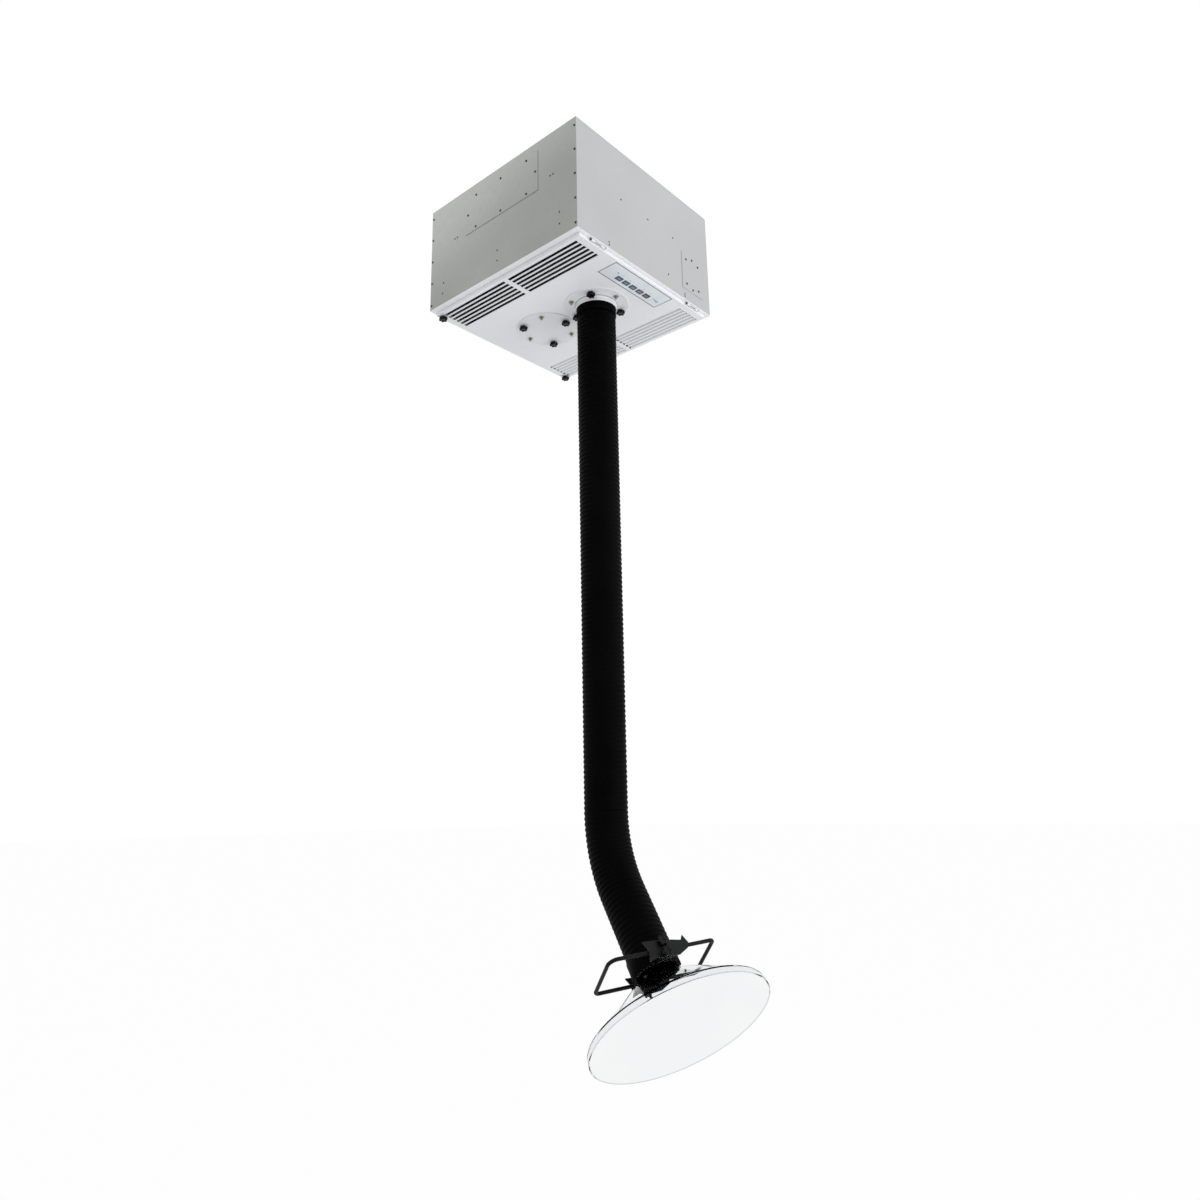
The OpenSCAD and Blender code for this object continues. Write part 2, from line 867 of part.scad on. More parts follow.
module hinge_leaves_door() color("silver") {
  half_leaf = knuckle_door_l / 2;
  for (s = [-1, 1])
    translate([s * hinge_x, 0, 0])
      difference() {
        union() {
          hinge_bar(knuckle_r, -half_leaf, half_leaf);
          span_box([-half_leaf, -hinge_y, hinge_z - leaf_t], [half_leaf, -half_door_d, hinge_z]);
          span_box([-half_leaf, -half_door_d - leaf_t, hinge_z - knuckle_r],
            [half_leaf, -half_door_d, hinge_z + leaf_t]);
        }
        hinge_bar(pin_r + run_gap, -half_leaf - cut, half_leaf + cut);
      }
}

// Angles of the knobs and of the nuts on the two inlet plates
inlet_knob_angles = [210, 330, 90];
blank_knob_angles = [30, 150, 270];

// Places the children on the fixing circle of an inlet, side -1 for the front one
module on_plate(side, angle) {
  translate([0, side * inlet_y, 0])
    rotate([0, 0, angle])
      translate([fixing_r, 0, 0])
        children();
}

// All six knob places and all six nut places
module at_knobs() {
  for (i = [0:2]) {
    on_plate(-1, inlet_knob_angles[i])
      children();
    on_plate(1, blank_knob_angles[i])
      children();
  }
}

module at_nuts() {
  for (i = [0:2]) {
    on_plate(-1, blank_knob_angles[i])
      children();
    on_plate(1, inlet_knob_angles[i])
      children();
  }
}

module key_openings(low, high) {
  for (i = [-2:2])
    translate([i * key_pitch, key_y, 0])
      span_box([-key_w / 2 - clear, -key_d / 2 - clear, low], [key_w / 2 + clear, key_d / 2 + clear, high]);
  translate([led_x, led_y, low])
    cylinder(r = led_r + hole_gap, h = high - low);
}

// One louvre group's slots: on the right side, in front of and behind the middle strip
module at_louvres() {
  for (x = [0, 1], y = [0, 1], i = [0:louvre_count - 1])
    mirror([x, 0, 0])
      mirror([0, y, 0])
        translate([louvre_in + i * louvre_pitch, louvre_mid, 0])
          children();
}

module door_panel() color("whitesmoke") {
  wall_top = z_trim - door_gap;
  slot_l = louvre_long - louvre_mid;
  difference() {
    union() {
      difference() {
        span_box([-half_door, -half_door_d, z_door], [half_door, half_door_d, wall_top]);
        span_box([door_t - half_door, door_t - half_door_d, z_skin],
          [half_door - door_t, half_door_d - door_t, wall_top + cut]);
      }
      at_knobs()
        translate([0, 0, z_door])
          cylinder(r = weld_nut_r, h = door_t + weld_nut_h);
    }
    at_louvres()
      span_box([0, 0, z_door - cut], [louvre_open, slot_l, z_skin + cut]);
    for (s = [-1, 1])
      translate([0, s * inlet_y, z_door - cut])
        cylinder(r = spigot_r + hole_gap, h = door_t + 2 * cut);
    at_knobs()
      translate([0, 0, z_door - cut])
        cylinder(r = stud_r + hole_gap, h = door_t + weld_nut_h + 2 * cut);
    at_nuts()
      translate([0, 0, z_door - cut])
        cylinder(r = nut_stud_r + hole_gap, h = door_t + 2 * cut);
    for (s = [-1, 1])
      translate([s * latch_x, latch_y, z_door - cut])
        cylinder(r = stud_r + hole_gap, h = door_t + 2 * cut);
    key_openings(z_door - cut, z_skin + cut);
  }
  // Blades stand on the outer edge of their slots, lean to the middle and end short of the slots
  at_louvres()
    translate([louvre_open, 0, z_door])
      rotate([0, louvre_angle - 90, 0])
        span_box([0, blade_short, 0], [door_t, slot_l - blade_short, louvre_open]);
}

module door_gasket() color("dimgray") {
  difference() {
    span_box([-bulkhead_x, -cross_y, z_skin], [bulkhead_x, cross_y, z_rim - clear]);
    span_box([gasket_w - bulkhead_x, gasket_w - cross_y, z_skin - cut],
      [bulkhead_x - gasket_w, cross_y - gasket_w, z_rim + cut]);
  }
}

module control_overlay() color("aliceblue") {
  difference() {
    span_box([-overlay_w / 2, -overlay_front, z_door - overlay_t],
      [overlay_w / 2, overlay_d - overlay_front, z_door]);
    key_openings(z_door - overlay_t - cut, z_door + cut);
  }
}

z_board = z_skin + board_gap;
z_key = z_skin + key_seat;

// Control board on its pillars, with a switch over each key and a lamp
module control_board() color("darkgreen") {
  switch_low = z_key + key_lip_t + key_travel + knob_gap;
  translate([0, key_y, 0]) {
    span_box([-board_w / 2, -board_d / 2, z_board], [board_w / 2, board_d / 2, z_board + board_t]);
    for (x = [-1, 1], y = [-1, 1])
      translate([x * (board_w / 2 - 2 * pillar_r), y * (board_d / 2 - 2 * pillar_r), z_skin])
        cylinder(r = pillar_r, h = z_board - z_skin);
    for (i = [-2:2])
      translate([i * key_pitch, 0, 0])
        span_box([-switch_w / 2, -switch_w / 2, switch_low], [switch_w / 2, switch_w / 2, z_board]);
  }
  translate([led_x, led_y, z_door - overlay_t])
    cylinder(r = led_r, h = z_board - z_door + overlay_t);
}

// Holes for the studs in both plates
module plate_holes() {
  low = z_door - plate_t - cut;
  at_knobs()
    translate([0, 0, low])
      cylinder(r = stud_r + hole_gap, h = plate_t + 2 * cut);
  at_nuts()
    translate([0, 0, low])
      cylinder(r = nut_stud_r + hole_gap, h = plate_t + 2 * cut);
}

module inlet_plate() color("lightgray") {
  difference() {
    translate([0, -inlet_y, z_door - plate_t])
      cylinder(r = plate_r, h = plate_t);
    translate([0, -inlet_y, z_door - plate_t - cut])
      cylinder(r = spigot_r + hole_gap, h = plate_t + 2 * cut);
    plate_holes();
  }
}

module blank_plate() color("lightgray") {
  difference() {
    translate([0, inlet_y, z_door - plate_t])
      cylinder(r = plate_r, h = plate_t);
    plate_holes();
  }
}

module inlet_collar() color("white") {
  top = z_trim;
  low = z_collar - top_cuff_l + 2 * cut;
  translate([0, -inlet_y, 0]) {
    ring(collar_bore_r, collar_r, z_collar, z_collar + collar_t);
    ring(collar_bore_r, spigot_r, low, top);
  }
}

module plate_nuts() color("goldenrod") {
  face = z_door - plate_t;
  at_nuts() {
    translate([0, 0, face - washer_t])
      cylinder(r = washer_r, h = washer_t);
    translate([0, 0, face - washer_t - nut_h])
      cylinder(r = nut_r, h = nut_h, $fn = 6);
    translate([0, 0, face - washer_t - nut_h - nut_tip])
      cylinder(r = nut_stud_r, h = z_skin - face + washer_t + 2 * (nut_h + nut_tip));
    translate([0, 0, z_skin])
      cylinder(r = nut_r, h = nut_h, $fn = 6);
  }
}

// A key: the cap shows below the overlay and the lip rests inside the door
module key(i) {
  translate([i * key_pitch, key_y, 0]) {
    span_box([-key_w / 2, -key_d / 2, z_door - overlay_t - key_out],
      [key_w / 2, key_d / 2, z_key + key_lip_t]);
    span_box([-key_w / 2 - key_lip, -key_d / 2 - key_lip, z_key],
      [key_w / 2 + key_lip, key_d / 2 + key_lip, z_key + key_lip_t]);
  }
}

module key_1() color("slategray") key(-2);

module key_2() color("slategray") key(-1);

module key_3() color("slategray") key(0);

module key_4() color("slategray") key(1);

module key_5() color("dimgray") key(2);

module door_knob(side) {
  translate([side * latch_x, latch_y, z_door - knob_gap])
    star_knob(knob_gap + door_drop + trim_t + weld_nut_h - cut);
}

module door_knob_left() color("black") door_knob(-1);

module door_knob_right() color("black") door_knob(1);

// A knob on an inlet plate, its stud reaching through the plate into the weld nut
module plate_knob(side, angle) {
  on_plate(side, angle)
    translate([0, 0, z_door - plate_t - knob_gap])
      star_knob(knob_gap + plate_t + door_t + weld_nut_h);
}

module inlet_knob_1() color("black") plate_knob(-1, inlet_knob_angles[0]);

module inlet_knob_2() color("black") plate_knob(-1, inlet_knob_angles[1]);

module inlet_knob_3() color("black") plate_knob(-1, inlet_knob_angles[2]);

module blank_knob_1() color("black") plate_knob(1, blank_knob_angles[0]);

module blank_knob_2() color("black") plate_knob(1, blank_knob_angles[1]);

module blank_knob_3() color("black") plate_knob(1, blank_knob_angles[2]);

module hose_cuff_top() color("black") {
  translate([0, -inlet_y, 0])
    ring(cuff_bore_r, cuff_r, z_flex, z_cuff);
}

// A ring of the hose: lean is its angle along the bend, drop its depth on a straight stretch
function hose_ring(r, lean, drop) = [for (k = [0:hose_sides - 1])
  let (a = k * 360 / hose_sides, x = r * cos(a), y = r * sin(a))
  [bend_r * (1 - cos(lean)) + x * cos(lean), y, x * sin(lean) - bend_r * sin(lean) - drop]];

// Triangles of the band between two rings that start at points a and b
function band(a, b) = [for (k = [0:hose_sides - 1])
  let (n = (k + 1) % hose_sides)
  each [[a + k, a + n, b + k], [a + n, b + n, b + k]]];

// A ribbed tube along a straight drop or along the bend, with its plain bore
module ribbed_tube(length, drop, lean, bore_steps) {
  ribs = round(length / rib_pitch);
  steps = 2 * ribs;
  outer = [for (i = [0:steps])
    each hose_ring(i % 2 == 0 ? valley_r : hose_r, lean * i / steps, drop * i / steps)];
  inner = [for (i = [0:bore_steps])
    each hose_ring(hose_bore_r, lean * i / bore_steps, drop * i / bore_steps)];
  start = len(outer);
  outer_end = steps * hose_sides;
  inner_end = start + bore_steps * hose_sides;
  polyhedron(points = concat(outer, inner), faces = concat(
    [for (i = [0:steps - 1]) each band(i * hose_sides, (i + 1) * hose_sides)],
    [for (i = [0:bore_steps - 1]) each band(start + (i + 1) * hose_sides, start + i * hose_sides)],
    band(start, 0),
    band(outer_end, inner_end)));
}

module hose_top_flex() color("black") {
  translate([0, -inlet_y, z_flex])
    ribbed_tube(top_flex_l, top_flex_l, 0, 1);
}

module hose_main() color("black") {
  translate([0, -inlet_y, z_main])
    ribbed_tube(main_l, main_l, 0, 1);
}

bend_l = bend_r * bend_angle * PI / 180;

module hose_bend() color("black") {
  translate([0, -inlet_y, z_bend])
    rotate([0, 0, bend_turn])
      ribbed_tube(bend_l, 0, bend_angle, round(bend_l / rib_pitch));
}

// The frame at the end of the bend, where -z runs on along the hose
module on_arm(along) {
  translate([0, -inlet_y, z_bend])
    rotate([0, 0, bend_turn])
      translate([bend_r * (1 - cos(bend_angle)), 0, -bend_r * sin(bend_angle)])
        rotate([0, -bend_angle, 0])
          translate([0, 0, -along])
            children();
}

module hose_lower() color("black") {
  on_arm(0)
    ribbed_tube(lower_l, lower_l, 0, 1);
}

// Level of the handle's rod plane along the arm
handle_at = arm_l - handle_up;

// The handle's frame: x runs along the loop, y towards the side with the front clamp
module on_handle() {
  on_arm(handle_at)
    rotate([0, 0, handle_turn])
      children();
}

// Faces of the clamps, as distances from the hose's axis
clamp_back = loop_w / 2 + rod_r + groove_gap;
clamp_face = clamp_back + clamp_t;
saddle_face = clamp_back - saddle_gap;

module hose_cuff_bottom() color("black") {
  difference() {
    union() {
      on_arm(arm_l)
        cylinder(r = bottom_cuff_r, h = bottom_cuff_l);
      on_handle()
        for (s = [0, 1])
          mirror([0, s, 0])
            span_box([-saddle_w / 2, cuff_bore_r + stud_wall / 2, -handle_up - saddle_low],
              [saddle_w / 2, saddle_face, saddle_h - handle_up]);
    }
    on_arm(arm_l + cut)
      cylinder(r = cuff_bore_r, h = bottom_cuff_l + 2 * cut);
    on_handle()
      for (s = [0, 1])
        mirror([0, s, 0])
          rod_groove();
    clamp_bores(cuff_bore_r + stud_wall, saddle_face + cut);
  }
}

// The open groove in a saddle, into which the rod is laid from outside
module rod_groove() {
  groove_r = rod_r + groove_gap;
  span_box([-saddle_w / 2 - cut, loop_w / 2 - groove_r, -groove_r],
    [saddle_w / 2 + cut, clamp_back, groove_r]);
}

// Places a clamp knob's frame: z points into the hose, at the height of the plate's outer face
module on_clamp(side, up) {
  on_handle()
    mirror([0, side, 0])
      translate([0, clamp_face, up * clamp_knob_up])
        rotate([90, 0, 0])
          children();
}

// Bores for the four clamp studs, between two distances from the hose's axis
module clamp_bores(from, to) {
  on_handle()
    for (s = [0, 1], u = [-1, 1])
      mirror([0, s, 0])
        translate([0, to, u * clamp_knob_up])
          rotate([90, 0, 0])
            cylinder(r = stud_r + hole_gap, h = to - from);
}

cone_slope = (hood_h - lip_h - neck_out - flare_h) / (rim_r - lip_flare - neck_r - flare_w);
cone_drop = hood_t / cos(atan(cone_slope));
function cone_z(r) = -neck_out - flare_h - (r - neck_r - flare_w) * cone_slope;

// A place on the hood's outer face, with z along the face's normal
module on_hood(turn) {
  on_arm(arm_l)
    rotate([0, 0, turn])
      translate([hood_screw_at, 0, cone_z(hood_screw_at)])
        rotate([0, atan(cone_slope), 0])
          children();
}

module hood() color("azure") {
  cone_r = rim_r - lip_flare;
  difference() {
    on_arm(arm_l)
      rotate_extrude()
        polygon([[neck_r, neck_in], [neck_r, -neck_out], [neck_r + flare_w, cone_z(neck_r + flare_w)],
          [cone_r, cone_z(cone_r)], [rim_r, -hood_h], [rim_r - hood_t, -hood_h],
          [cone_r - hood_t, cone_z(cone_r - hood_t) - cone_drop],
          [neck_r + flare_w, cone_z(neck_r + flare_w) - cone_drop],
          [neck_r - hood_t, -neck_out - hood_t / 2], [neck_r - hood_t, neck_in]]);
    for (i = [0:2])
      on_hood(hood_screw_turn + i * 120)
        translate([0, 0, -hood_t - cut])
          cylinder(r = screw_r + hole_gap / 2, h = hood_t + 2 * cut);
  }
}

module hood_screws() color("gray") {
  for (i = [0:2])
    on_hood(hood_screw_turn + i * 120) {
      cylinder(r = screw_head_r, h = screw_head_t);
      translate([0, 0, -hood_t - hood_nut_t - clear])
        cylinder(r = screw_r, h = hood_t + hood_nut_t + clear);
      translate([0, 0, -hood_t - hood_nut_t - clear])
        cylinder(r = hood_nut_r, h = hood_nut_t);
    }
}

// Corners of the handle loop and the radius of each
loop_corners = [[1, 1, corner_r], [-1, 1, tight_r], [-1, -1, tight_r], [1, -1, tight_r]];

module handle_rod() color("black") {
  half_l = loop_l / 2;
  half_b = loop_w / 2;
  on_handle() {
    for (c = loop_corners)
      mirror([c[0] < 0 ? 1 : 0, 0, 0])
        mirror([0, c[1] < 0 ? 1 : 0, 0])
          translate([half_l - c[2], half_b - c[2], 0])
            rotate_extrude(angle = 90)
              translate([c[2], 0])
                circle(r = rod_r);
    rod_length(half_b, corner_r);
    rod_length(-half_b, tight_r);
    rod_side(half_l, corner_r);
    rod_side(-half_l, tight_r);
  }
}

// A straight length of rod along x, from a tight corner to the corner of radius end_r
module rod_length(y, end_r) {
  translate([tight_r - loop_l / 2, y, 0])
    rotate([0, 90, 0])
      cylinder(r = rod_r, h = loop_l - tight_r - end_r);
}

// A straight length of rod along y, from a tight corner to the corner of radius end_r
module rod_side(x, end_r) {
  translate([x, tight_r - loop_w / 2, 0])
    rotate([-90, 0, 0])
      cylinder(r = rod_r, h = loop_w - tight_r - end_r);
}

module clamp_plates() color("dimgray") {
  difference() {
    on_handle()
      for (s = [0, 1])
        mirror([0, s, 0])
          translate([clamp_shift, clamp_face, 0])
            rotate([90, 0, 0])
              linear_extrude(clamp_t)
                polygon([for (p = clamp_shares) [p[0] * clamp_l, p[1] * clamp_h]]);
    clamp_bores(saddle_face, clamp_face + cut);
  }
}

// A clamp knob, its stud reaching through the plate into the cuff's saddle
module clamp_knob(side, up) {
  on_clamp(side, up)
    translate([0, 0, -knob_gap])
      star_knob(knob_gap + clamp_face - cuff_bore_r - 2 * stud_wall);
}

module clamp_knob_1() color("black") clamp_knob(0, 1);

module clamp_knob_2() color("black") clamp_knob(0, -1);

module clamp_knob_3() color("black") clamp_knob(1, 1);

module clamp_knob_4() color("black") clamp_knob(1, -1);

top_pan();
left_panel();
right_panel();
front_panel();
rear_panel();
base_frame();
mounting_channels();
access_plate();
terminal_cover();
panel_screws();
rivets();
conduit_bush();
filter_housing();
blower_deck();
prefilter();
hepa_filter();
carbon_filter();
filter_clips();
blower_housing();
motor_stator();
terminal_block();
hinge_leaves_cabinet();
impeller();
motor_rotor();
door_panel();
door_gasket();
hinge_leaves_door();
control_overlay();
control_board();
inlet_plate();
inlet_collar();
blank_plate();
plate_nuts();
key_1();
key_2();
key_3();
key_4();
key_5();
door_knob_left();
door_knob_right();
inlet_knob_1();
inlet_knob_2();
inlet_knob_3();
blank_knob_1();
blank_knob_2();
blank_knob_3();
hose_cuff_top();
hose_top_flex();
hose_main();
hose_bend();
hose_lower();
hose_cuff_bottom();
hood();
hood_screws();
handle_rod();
clamp_plates();
clamp_knob_1();
clamp_knob_2();
clamp_knob_3();
clamp_knob_4();
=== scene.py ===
"""Looks of the ceiling mounted fume extractor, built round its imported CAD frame."""

import json
import math

import bpy
from mathutils import Matrix, Vector


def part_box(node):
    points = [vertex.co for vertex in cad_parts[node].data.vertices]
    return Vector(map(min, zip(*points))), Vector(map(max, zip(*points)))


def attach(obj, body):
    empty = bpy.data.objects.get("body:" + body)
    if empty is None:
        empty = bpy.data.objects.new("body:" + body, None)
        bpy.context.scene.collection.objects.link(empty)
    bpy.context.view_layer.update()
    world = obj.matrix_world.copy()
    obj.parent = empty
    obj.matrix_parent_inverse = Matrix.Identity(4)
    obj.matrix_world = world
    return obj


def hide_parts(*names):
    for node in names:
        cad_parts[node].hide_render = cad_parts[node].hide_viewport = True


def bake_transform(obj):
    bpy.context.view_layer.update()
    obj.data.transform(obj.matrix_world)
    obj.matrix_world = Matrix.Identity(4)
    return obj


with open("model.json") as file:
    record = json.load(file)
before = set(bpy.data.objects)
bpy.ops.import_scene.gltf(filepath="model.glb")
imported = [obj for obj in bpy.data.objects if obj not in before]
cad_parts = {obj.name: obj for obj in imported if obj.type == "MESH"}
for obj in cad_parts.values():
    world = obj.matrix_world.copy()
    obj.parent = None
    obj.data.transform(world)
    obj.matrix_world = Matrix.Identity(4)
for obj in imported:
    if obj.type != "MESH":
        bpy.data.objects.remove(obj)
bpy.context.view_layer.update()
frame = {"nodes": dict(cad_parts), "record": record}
scene = bpy.context.scene

MM = 0.001
TURN = 2 * math.pi

# Sizes of the CAD source, in millimetres
INLET_Y = 100
Z_DOOR = -350
OVERLAY_T = 0.8
OVERLAY_HALF_W = 128
OVERLAY_FRONT = 287
OVERLAY_REAR = 217
KEY_Y = -240.2
KEY_PITCH = 30.5
KEY_W = 22.7
KEY_D = 16.4
KEY_OUT = 1.2
LED_X = -83.2
LED_Y = -256.1
HOSE_R = 57
VALLEY_R = 55.2
BORE_R = 51
RIB_PITCH = 13
Z_FLEX = -391.3
FLEX_L = 240
Z_MAIN = -631.3
MAIN_L = 1169
Z_BEND = -1800.3
BEND_R = 306
BEND_ANGLE = math.radians(40.3)
BEND_TURN = math.radians(-108.1)
LOWER_L = 172
ARM_L = 217
HANDLE_UP = 18
HANDLE_TURN = math.radians(-98.6)
CLAMP_FACE = 74.6
CLAMP_KNOB_UP = 13.5
KNOB_R = 13
KNOB_H = 13
KNOB_GAP = 0.2
KNOB_FOOT_R = 6
KNOB_FOOT_H = 3
LOBES = 6
LOBE_DEPTH = 3.6
STUD_R = 3
CLAMP_STUD_L = 19.8
NECK_R = 50.5
NECK_IN = 35
NECK_OUT = 8
FLARE = 8
FLARE_DROP = 7
CONE_SLOPE = 103 / 154.5
HOOD_T = 3
RIM_R = 215
HOOD_H = 134
CONE_R = 213
HOOD_SCREWS = 3
HOOD_SCREW_AT = 62.5
HOOD_SCREW_TURN = 57
PLATE_LOW = Z_DOOR - 3
SKIN_TOP = Z_DOOR + 1.5
COLLAR_R = 62
COLLAR_LOW = Z_DOOR - 11
HINGE_X = 214
HINGE_HALF = 27
HINGE_Y = -295.5
HINGE_Z = -342.6


def place(x, y, z):
    """A shift given in millimetres."""
    return Matrix.Translation(Vector((x, y, z)) * MM)


# Frames of the hose's bend, of its lower arm and of the handle
BEND = place(0, -INLET_Y, Z_BEND) @ Matrix.Rotation(BEND_TURN, 4, "Z")
ARM = (
    BEND
    @ place(BEND_R * (1 - math.cos(BEND_ANGLE)), 0, -BEND_R * math.sin(BEND_ANGLE))
    @ Matrix.Rotation(-BEND_ANGLE, 4, "Y")
)
HANDLE = ARM @ place(0, 0, HANDLE_UP - ARM_L) @ Matrix.Rotation(HANDLE_TURN, 4, "Z")


# Colours and materials
NOISE_LOW = 0.3
NOISE_HIGH = 0.7
SLOW_DETAIL = 3
FINE_DETAIL = 4
RELIEF_DEPTH = 0.0004
# The colour sockets of a Mix node
MIX_A = 6
MIX_B = 7
MIX_RESULT = 2


def linear(code):
    """Linear red, green, blue and alpha of a six-digit sRGB code."""
    parts = [int(code[i : i + 2], 16) / 255 for i in (0, 2, 4)]
    return [p / 12.92 if p <= 0.04045 else ((p + 0.055) / 1.055) ** 2.4 for p in parts] + [1]


def add_node(tree, kind, **settings):
    """A new node of a kind, with its properties set."""
    node = tree.nodes.new(kind)
    for name, value in settings.items():
        setattr(node, name, value)
    return node


def noise(tree, coords, stretch, scale, detail):
    """A noise value on stretched object coordinates."""
    mapping = add_node(tree, "ShaderNodeMapping")
    mapping.inputs["Scale"].default_value = stretch
    texture = add_node(tree, "ShaderNodeTexNoise")
    texture.inputs["Scale"].default_value = scale
    texture.inputs["Detail"].default_value = detail
    tree.links.new(coords.outputs["Object"], mapping.inputs["Vector"])
    tree.links.new(mapping.outputs["Vector"], texture.inputs["Vector"])
    return texture.outputs["Fac"]


def ranged(tree, value, low, high):
    """A noise value, which lies mostly between two limits, spread from low to high."""
    span = add_node(tree, "ShaderNodeMapRange")
    span.inputs["From Min"].default_value = NOISE_LOW
    span.inputs["From Max"].default_value = NOISE_HIGH
    span.inputs["To Min"].default_value = low
    span.inputs["To Max"].default_value = high
    tree.links.new(value, span.inputs["Value"])
    return span.outputs["Result"]


def blended(tree, factor, first, second):
    """A colour between two others, by a factor."""
    mix = add_node(tree, "ShaderNodeMix", data_type="RGBA")
    tree.links.new(factor, mix.inputs["Factor"])
    for socket, value in zip((mix.inputs[MIX_A], mix.inputs[MIX_B]), (first, second)):
        if isinstance(value, list):
            socket.default_value = value
        else:
            tree.links.new(value, socket)
    return mix.outputs[MIX_RESULT]


def along(tree, coords, direction, start, end):
    """How far a point lies along a direction, from 0 at start to 1 at end, in metres."""
    dot = add_node(tree, "ShaderNodeVectorMath", operation="DOT_PRODUCT")
    dot.inputs[1].default_value = direction
    tree.links.new(coords.outputs["Object"], dot.inputs[0])
    span = add_node(tree, "ShaderNodeMapRange", interpolation_type="SMOOTHSTEP")
    span.inputs["From Min"].default_value = start
    span.inputs["From Max"].default_value = end
    tree.links.new(dot.outputs["Value"], span.inputs["Value"])
    return span.outputs["Result"]


def finish_material(name, dark, light, rough, metal=0.0, cloud=3.0, grain=900.0,
                    stretch=(1, 1, 1), bump=0.05, speck=0.25, turning=None,
                    tinted=None, **constants):
    """A material whose colour, gloss and relief vary over the surface.

    cloud is the scale of the slow colour change, grain that of the fine one, speck the
    fine one's share, and constants are set on the shader's own sockets. The sheen, a
    painted reflection, is (colour, direction, start, end): the sheet turns to that colour
    along the direction.
    tinted is the colour where the mesh's "tint" attribute is 1.
    """
    material = bpy.data.materials.new(name)
    material.use_nodes = True
    tree = material.node_tree
    shader = tree.nodes["Principled BSDF"]
    coords = add_node(tree, "ShaderNodeTexCoord")
    slow = noise(tree, coords, (1, 1, 1), cloud, SLOW_DETAIL)
    fine = noise(tree, coords, stretch, grain, FINE_DETAIL)
    low, high = linear(dark), linear(light)
    base = blended(tree, ranged(tree, slow, 0, 1), low, high)
    # Painted reflection: the sheet's colour turns to a lighter one along a direction
    if turning:
        code, direction, start, end = turning
        base = blended(tree, along(tree, coords, direction, start, end), base, linear(code))
    if tinted:
        tint = add_node(tree, "ShaderNodeAttribute", attribute_name="tint")
        base = blended(tree, tint.outputs["Fac"], base, linear(tinted))
    worn = blended(tree, ranged(tree, fine, 0, speck), base, low)
    tree.links.new(worn, shader.inputs["Base Color"])
    tree.links.new(ranged(tree, fine, *rough), shader.inputs["Roughness"])
    relief = add_node(tree, "ShaderNodeBump")
    relief.inputs["Strength"].default_value = bump
    relief.inputs["Distance"].default_value = RELIEF_DEPTH
    tree.links.new(fine, relief.inputs["Height"])
    tree.links.new(relief.outputs["Normal"], shader.inputs["Normal"])
    shader.inputs["Metallic"].default_value = metal
    for socket, value in constants.items():
        shader.inputs[socket.replace("_", " ")].default_value = value
    return material


